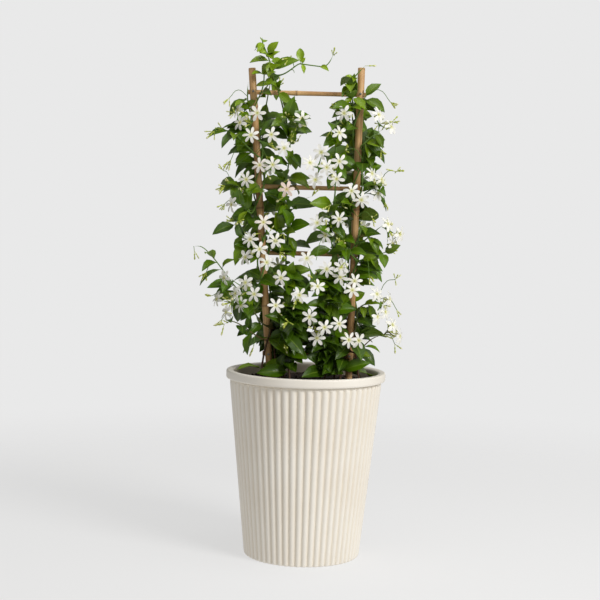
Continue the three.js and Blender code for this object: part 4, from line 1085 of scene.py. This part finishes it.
def model_stems(name, title, swell, sink):
    """What a solid has left without its leaves and blooms, as round stems."""
    left = growth[name]["mesh"].copy()
    crisp = left.verts.layers.float.new("crease_vert")
    left.verts.ensure_lookup_table()
    spent = [left.verts[v.index] for v in growth[name]["spent"]]
    used = set(spent)
    for vert in left.verts:
        if vert not in used and ends_here(vert):
            vert[crisp] = 1.0
            # A spray's foot has three sides. It is let down into its vine.
            if len(vert.link_edges) == 3:
                ring = [e.other_vert(vert).co for e in vert.link_edges]
                vert.co += (vert.co - sum(ring, Vector()) / 3).normalized() * sink
    bmesh.ops.delete(left, geom=spent, context="VERTS")
    mesh = bpy.data.meshes.new(title)
    left.to_mesh(mesh)
    left.free()
    piece = new_object(title, mesh)
    edit(piece)
    bpy.ops.mesh.select_all(action="SELECT")
    bpy.ops.mesh.fill_holes(sides=8)
    bpy.ops.mesh.select_all(action="SELECT")
    bpy.ops.mesh.tris_convert_to_quads(face_threshold=math.radians(70),
                                       shape_threshold=math.radians(90))
    bpy.ops.mesh.normals_make_consistent(inside=False)
    bpy.ops.transform.shrink_fatten(value=swell)
    leave_edit()
    soften = piece.modifiers.new("round", "SUBSURF")
    soften.levels = soften.render_levels = ROUNDS
    apply_all(piece)
    add_mark(piece.data, "wood", [
        min(1.0, max(0.0, (WOOD_TO - v.co.z) / (WOOD_TO - WOOD_FROM)))
        for v in piece.data.vertices])
    paint(piece, stem_skin)
    smooth(piece, 70)
    return piece


# %% [markdown]
# ## Which way a leaf looks
# Leaves turn to the light. On the real plant their faces look away from the ladder and
# up, so the leaves that are added among the solid ones do the same. They grow from the
# stems' own points, and none grows into the windows that stay open between the vines and
# at the top left, in front of a stake, or past the box of the solids.

# %% Where small leaves may grow
LADDER_HALF = 56 * MM
# Each window's west and east edge, then its lower and upper edge, in mm.
WINDOWS = [((-16, 12), (537, 593)), ((-14, 14), (467, 509)), ((-12, 34), (407, 457)),
           ((-30, 40), (655, 702)), ((-161, -92), (635, 740))]
LOW, HIGH = (Vector(corner) for corner in cad_box)
STAKE_LINES = [cane_axis("stake_left"), cane_axis("stake_right")]
STAKE_VIEW = (-9 * MM, 17 * MM)
DEEPEST = 92 * MM
LOWEST = 258 * MM
GROWN_LENGTH = 33 * MM
YOUNG_FROM = 600 * MM


def hides_stake(spot):
    """Whether a point is in front of a stake or shades it. The stakes stay almost bare."""
    for foot, head in STAKE_LINES:
        share = (spot.z - foot.z) / (head.z - foot.z)
        beside = spot.x - foot.lerp(head, share).x
        if spot.y < 4 * MM and STAKE_VIEW[0] < beside < STAKE_VIEW[1]:
            return True
    return False


def outward(spot):
    """The level direction that leads away from the ladder."""
    level = Vector((spot.x - min(max(spot.x, -LADDER_HALF), LADDER_HALF), 1.2 * spot.y, 0))
    return level.normalized() if level.length > MM else Vector((0, -1, 0))


def allowed(spot):
    """Whether growth may reach a point: in the box, and clear of stakes and windows."""
    if any(spot[i] < LOW[i] + 2 * MM or spot[i] > HIGH[i] - MM for i in (0, 2)):
        return False
    if abs(spot.y) > DEEPEST or spot.z < LOWEST or hides_stake(spot):
        return False
    return not any(west * MM < spot.x < east * MM and low * MM < spot.z < high * MM
                   for (west, east), (low, high) in WINDOWS)


def leaf_frame(root, way, face, length):
    """A leaf model's matrix: Y runs along the leaf and Z is its upper face."""
    normal = (face - way * face.dot(way)).normalized()
    return framed(root, (way.cross(normal), way, normal), length)


def age_of(length, height, draw):
    """0 for a young leaf and 1 for an old one: the small and the high ones are young."""
    youth = max(0.0, (GROWN_LENGTH - length) / (16 * MM)) * 0.5
    youth += max(0.0, (height - YOUNG_FROM) / (130 * MM)) * 0.45
    return 1 - min(0.9, youth + (0.35 * draw.random() if draw.random() < 0.25 else 0))


# %% Grow small leaves
# Below this height the added leaves are old and their tone is held dark: partly age, partly
# painted shade.
SHADY = 350 * MM
TRIES = 30


def place_leaf(root, way, face, length, draw):
    """A leaf at a root. The ones near the soil are old, and held dark as painted shade."""
    low = root.z < SHADY
    return copy_of(draw.choice(leaves), leaf_frame(root, way, face, length),
                   age=1.0 if low else age_of(length, root.z, draw),
                   tone=draw.random() * (0.25 if low else 1.0))


def small_leaves(stems, count, lowest, highest, half, sizes, draw):
    """Leaves on a vine's stems. The heights, the half width and the sizes are in mm."""
    grown = []
    spots = [(v.co.copy(), v.normal.copy()) for v in stems.data.vertices
             if lowest * MM < v.co.z < highest * MM and abs(v.co.x) < half * MM]
    for _ in range(TRIES * count if spots else 0):
        spot, normal = draw.choice(spots)
        out = outward(spot)
        if normal.dot(out) < -0.2:
            continue
        wander = Vector([draw.uniform(-1, 1) for _ in range(3)])
        way = (normal * 0.6 + out * 0.5 + wander * 0.8
               + Vector((0, 0, draw.uniform(-0.6, 0.3)))).normalized()
        length = draw.uniform(*sizes) * MM
        if not (allowed(spot + way * length) and allowed(spot + way * length * 0.5)):
            continue
        light = Vector((0, -0.65 if spot.y < 20 * MM else 0.65, 0.5))
        face = out * 0.4 + light + wander * 0.35
        grown.append(place_leaf(spot - normal * 0.6 * MM, way, face, length, draw))
        if len(grown) == count:
            break
    return grown


# %% Put buds on the stems
def bud_cluster(spot, way, count, spread, draw, models):
    """A few buds that spread from one spot, about a direction."""
    grown = []
    for _ in range(count):
        aim = (way + Vector([draw.uniform(-spread, spread) for _ in range(3)])).normalized()
        size = draw.uniform(0.65, 1.0) * MM
        if allowed(spot + aim * BUD_REACH * size):
            grown.append(copy_of(draw.choice(models), aimed(spot, aim, size), tone=0.0))
    return grown


def tip_buds(name, draw):
    """Buds at the ends of a vine's shoots."""
    grown = []
    for vert in growth[name]["mesh"].verts:
        if vert in growth[name]["spent"] or vert.co.z < WOOD_FROM or not ends_here(vert):
            continue
        ring = [e.other_vert(vert).co for e in vert.link_edges]
        way = (vert.co - sum(ring, Vector()) / len(ring)).normalized()
        grown += bud_cluster(vert.co - way * MM, way + outward(vert.co) * 0.2,
                             draw.choice((2, 3, 4, 5)), 0.8, draw, buds)
    return grown


# %% [markdown]
# ## Hanging bud stalks
# Thin yellow green stalks with closed buds hang from the outer shoots and between the
# leaves, and much of the plant's light outline comes from them. Each is a short curve
# from the nearest stem to its spot, turned into a mesh, with a few buds at its end.

# %% Hang the bud stalks
# Where each stalk ends, in mm.
STALK_ENDS = [(-26, -58, 335), (-73, -45, 299), (-160, -22, 428), (-119, -22, 494),
              (-119, -22, 519), (-136, -18, 594), (-108, -18, 620), (-140, -20, 312),
              (123, -24, 305), (-73, -10, 718), (-83, -8, 708), (-35, -12, 698),
              (-27, -14, 678), (28, -12, 703), (110, -20, 613), (119, -20, 453),
              (127, -22, 323), (104, -20, 502), (96, -20, 574), (-112, -20, 555),
              (27, -40, 496), (-16, -50, 365), (50, -45, 418), (-133, -30, 366),
              (-119, -30, 333), (-143, -20, 398), (-122, -24, 540),
              (-116, -22, 640), (118, -22, 545), (121, -22, 395), (107, -22, 640),
              (125, -20, 352), (-100, -34, 470), (86, -34, 480), (-62, -40, 560),
              (70, -36, 560), (10, -52, 420), (-40, -44, 430), (84, -36, 400)]
LONGEST_STALK = 52 * MM
STALK_RADIUS = 0.45 * MM
STALK_FROM = 270 * MM


def thread(points):
    """A thin stalk along a curve, as a mesh."""
    curve = bpy.data.curves.new("stalk", "CURVE")
    curve.dimensions = "3D"
    curve.bevel_depth = STALK_RADIUS
    curve.bevel_resolution = 0
    curve.resolution_u = 4
    curve.use_fill_caps = True
    line = curve.splines.new("BEZIER")
    line.bezier_points.add(len(points) - 1)
    for knot, place in zip(line.bezier_points, points):
        knot.co = place
        knot.handle_left_type = knot.handle_right_type = "AUTO"
    active(new_object("stalk", curve))
    bpy.ops.object.convert(target="MESH")
    piece = bpy.context.object
    paint(piece, stem_skin)
    return piece


def hang_stalks(stems_of, draw):
    """For each vine, the stalks that hang from it."""
    anchors = [(name, v.co.copy()) for name, stems in stems_of.items()
               for v in stems.data.vertices if v.co.z > STALK_FROM]
    tree = tree_of([spot for _, spot in anchors])
    hung = {name: [] for name in stems_of}
    for end in STALK_ENDS:
        end = Vector(end) * MM
        root, number, far = tree.find(end)
        if far > LONGEST_STALK:
            continue
        rise = Vector((0, 0, 0.32 * far))
        pieces = [thread([root, root.lerp(end, 0.5) + rise, end])]
        down = (end - root).normalized() * 0.7 + Vector((0, 0, -0.4))
        pieces += bud_cluster(end, down, draw.choice((4, 5, 6)), 0.7, draw, buds)
        hung[anchors[number][0]] += pieces
    return hung


# %% [markdown]
# ## Put each vine together
# Each vine's stems, its leaves and what hangs from it become one piece, which stands
# for that vine's solid. The added leaves are denser near the soil, where the real plant
# is at its thickest.

# %% Put the vines together
# Where leaves are added: the lowest and highest root, half the width about the middle
# and the range of their lengths, all in mm.
ALL_OVER = (268, 660, 200, (22, 40))
AT_TOP = (660, 740, 200, (16, 30))
NEAR_SOIL = (262, 410, 54, (24, 40))
IN_MIDDLE = (330, 465, 36, (26, 40))
TOP_COUNTS = {"left": 5, "right": 1}
MIDDLE_COUNT = 16
# On each vine: how many leaves are added all over it, and how many more near the soil.
SMALL_LEAVES = {"vine_left_front": (54, 16), "vine_left_back": (60, 16),
                "vine_right_front": (54, 16), "vine_right_back": (58, 16),
                "vine_mid_left": (58, 70), "vine_mid_right": (54, 70),
                "vine_back_left": (56, 66), "vine_back_right": (56, 66)}
stems_of = {name: model_stems(name, name.replace("vine", "stems"), 0.35 * MM, 0)
            for name in SMALL_LEAVES}
hung = hang_stalks(stems_of, random.Random(5))
for name, (all_over, near_soil) in SMALL_LEAVES.items():
    draw = random.Random(name)
    stems = stems_of[name]
    grown = [copy_of(draw.choice(leaves),
                     leaf_frame(leaf["root"], leaf["way"], leaf["normal"], leaf["length"]),
                     age=age_of(leaf["length"], leaf["root"].z, draw), tone=draw.random())
             for leaf in growth[name]["leaves"]]
    at_top = TOP_COUNTS["left" if "left" in name else "right"]
    for count, place in ((all_over, ALL_OVER), (at_top, AT_TOP), (near_soil, NEAR_SOIL),
                         (MIDDLE_COUNT, IN_MIDDLE)):
        grown += small_leaves(stems, count, *place, draw)
    grown += tip_buds(name, draw) + hung[name]
    declare(joined("leafy_" + name, [stems, *grown]), name)

# %% [markdown]
# ## The flower sprays
# Each spray is a short green stalk that forks at a small knuckle, with a bloom at the
# end of each branch and a few buds still closed. The stalks come from the solid in the
# same way as the stems. The buds stand on the knuckle and lean the blooms' way. A few
# blooms fade to pink with age, and these are found by their place.

# %% Put the sprays together
# Where a bloom fades to pink: its x and height in mm, and how far it has faded.
FADED = [(-33, 517, 0.45), (-72, 548, 0.14), (-63, 472, 0.16)]
BLOOM_ROOM = 9 * MM
BRANCH_END = 2.4 * MM
STALK_SINK = 2 * MM


def knuckle_of(spray):
    """The middle of the six points where a spray's stalk forks."""
    ends = [star["heart"] - star["facing"] * CALYX for star in spray["blooms"]]
    left = [v for v in spray["mesh"].verts if v not in spray["spent"]
            and all((v.co - end).length > BRANCH_END for end in ends)]
    foot = next((v for v in left if len(v.link_edges) == 3), None)
    if foot:
        near = {foot} | {e.other_vert(foot) for e in foot.link_edges}
        left = [v for v in left if v not in near]
    return sum((v.co for v in left), Vector()) / len(left)


def place_bloom(star, draw):
    """A bloom where the solid has one, turned as it is, and pink where FADED says so."""
    axes = (star["petal"], star["facing"].cross(star["petal"]), star["facing"])
    spot = star["heart"]
    tone = sum(pink for x, z, pink in FADED if spot.y < 0
               and max(abs(spot.x - x * MM), abs(spot.z - z * MM)) < BLOOM_ROOM)
    return copy_of(draw.choice(blooms[star["petals"]]), framed(spot, axes, MM), tone=tone)


for name, spray in growth.items():
    if not name.startswith("spray"):
        continue
    draw = random.Random(name)
    hub = knuckle_of(spray)
    ahead = sum((star["heart"] - hub for star in spray["blooms"]), Vector()).normalized()
    stalk = model_stems(name, name.replace("spray", "stalk"), 0.12 * MM, STALK_SINK)
    grown = [place_bloom(star, draw) for star in spray["blooms"]]
    grown += bud_cluster(hub, ahead * 0.7, draw.choice((3, 4)), 1.0, draw, buds)
    grown += bud_cluster(hub, ahead * 0.7, draw.choice((1, 2, 3)), 1.0, draw, [opening])
    declare(joined("flowers_" + name, [stalk, *grown]), name)

# %% [markdown]
# ## Put the models away
# The leaf, bloom and bud models have done their work. Only their copies are part of the
# object, so the models are removed.

# %% Remove the models
for model in [*leaves, *blooms[6], *blooms[7], *buds, opening]:
    bpy.data.objects.remove(model)
for grown in growth.values():
    grown["mesh"].free()

# %% [markdown]
# ## Floor and background
# The pot stands on a pale floor that melts into a pale background. A floor with an edge
# would draw a horizon behind the plant, so the disc fades out with distance, and behind
# it the world shows the same pale grey. A part of the floor's grey is its own glow, so
# that the shadow on it stays faint.

# %% Floor
FLOOR_RADIUS = 4.0
FADE = (0.5, 1.5)
FLOOR_GREY = 0.29
FLOOR_GLOW = 0.565
deselect()
bpy.ops.mesh.primitive_circle_add(vertices=128, radius=FLOOR_RADIUS, fill_type="NGON")
floor = bpy.context.object
floor.name = "floor"
pale, start = start_finish("floor_pale")
far = start.length(start.place())
matt = start.node("BsdfDiffuse", None, {"Color": (FLOOR_GREY, FLOOR_GREY, FLOOR_GREY, 1)})
glow = start.node("Emission", None, {"Color": (1, 1, 1, 1), "Strength": FLOOR_GLOW})
matt = start.node("AddShader", None, {0: matt, 1: glow})
clear = start.node("BsdfTransparent", None, {"Color": (1, 1, 1, 1)})
fade = start.node("MixShader", None, {0: far.between(*FADE), 1: matt, 2: clear})
start.node("OutputMaterial", None, {"Surface": fade})
paint(floor, pale)
print("floor:", floor.name)

# %% [markdown]
# ## Light
# The photo is a soft studio shot: a large soft light from the front right makes the
# pot's right side bright and lays a faint shadow to the left behind it, a weak one from
# above lights the leaves' faces, and pale surroundings fill the rest. The world looks
# brighter to the camera than it is as a light, which keeps the shading on the pot.

# %% World and lights
WORLD_SEEN = 0.815
WORLD_LIGHT = 0.34
WORLD_COLOUR = (1.0, 0.985, 0.955, 1)
world = bpy.data.worlds.new("studio")
world.use_nodes = True
world.node_tree.nodes.clear()
start = Socket(world.node_tree)
seen = start.node("Background", None, {"Color": (1, 1, 1, 1), "Strength": WORLD_SEEN})
felt = start.node("Background", None, {"Color": WORLD_COLOUR, "Strength": WORLD_LIGHT})
rays = start.node("LightPath")
start.node("OutputWorld", None, {"Surface": start.node("MixShader", None, {
    0: rays, 1: felt, 2: seen})})
bpy.context.scene.world = world


def soft_light(name, place, aim, size, power, colour):
    light = bpy.data.lights.new(name, "AREA")
    light.shape = "DISK"
    light.size = size
    light.energy = power
    light.color = colour
    lamp = new_object(name, light)
    lamp.location = place
    lamp.rotation_euler = (Vector(aim) - Vector(place)).to_track_quat("-Z", "Y").to_euler()


soft_light("key", place=(1.65, -1.6, 1.7), aim=(0, 0, 0.35), size=1.1, power=48,
           colour=(1.0, 0.99, 0.975))
soft_light("top", place=(0.3, -0.3, 2.4), aim=(0, 0, 0.5), size=1.4, power=10,
           colour=(1.0, 1.0, 1.0))
print("world and lights ready")

# %% [markdown]
# ## Camera
# The camera stands 1.83 m in front of the pot, 0.48 m above the floor, and looks down a
# little, as the photo's lines show. The photo leans a degree and a half, so the camera
# rolls by as much.

# %% Camera
CAMERA_PLACE = (0, -1833.1 * MM, 476.1 * MM)
CAMERA_PITCH = 3.576
CAMERA_YAW = 0.344
CAMERA_ROLL = 1.5
CAMERA_LENS = 78
lens = bpy.data.cameras.new("camera")
lens.sensor_width = 36
lens.lens = CAMERA_LENS
camera = new_object("camera", lens)
camera.matrix_world = (
    Matrix.Translation(CAMERA_PLACE)
    @ Matrix.Rotation(math.radians(CAMERA_YAW), 4, "Z")
    @ Matrix.Rotation(math.radians(90 - CAMERA_PITCH), 4, "X")
    @ Matrix.Rotation(math.radians(CAMERA_ROLL), 4, "Z"))
bpy.context.scene.camera = camera
bpy.context.scene.view_settings.view_transform = "Standard"
print("camera:", tuple(camera.location))

# %% [markdown]
# ## The solids' box
# The dressed plant should fill the same box as the solids. The solids' box is printed.

# %% Sizes and finish
print("cad box:", cad_box)
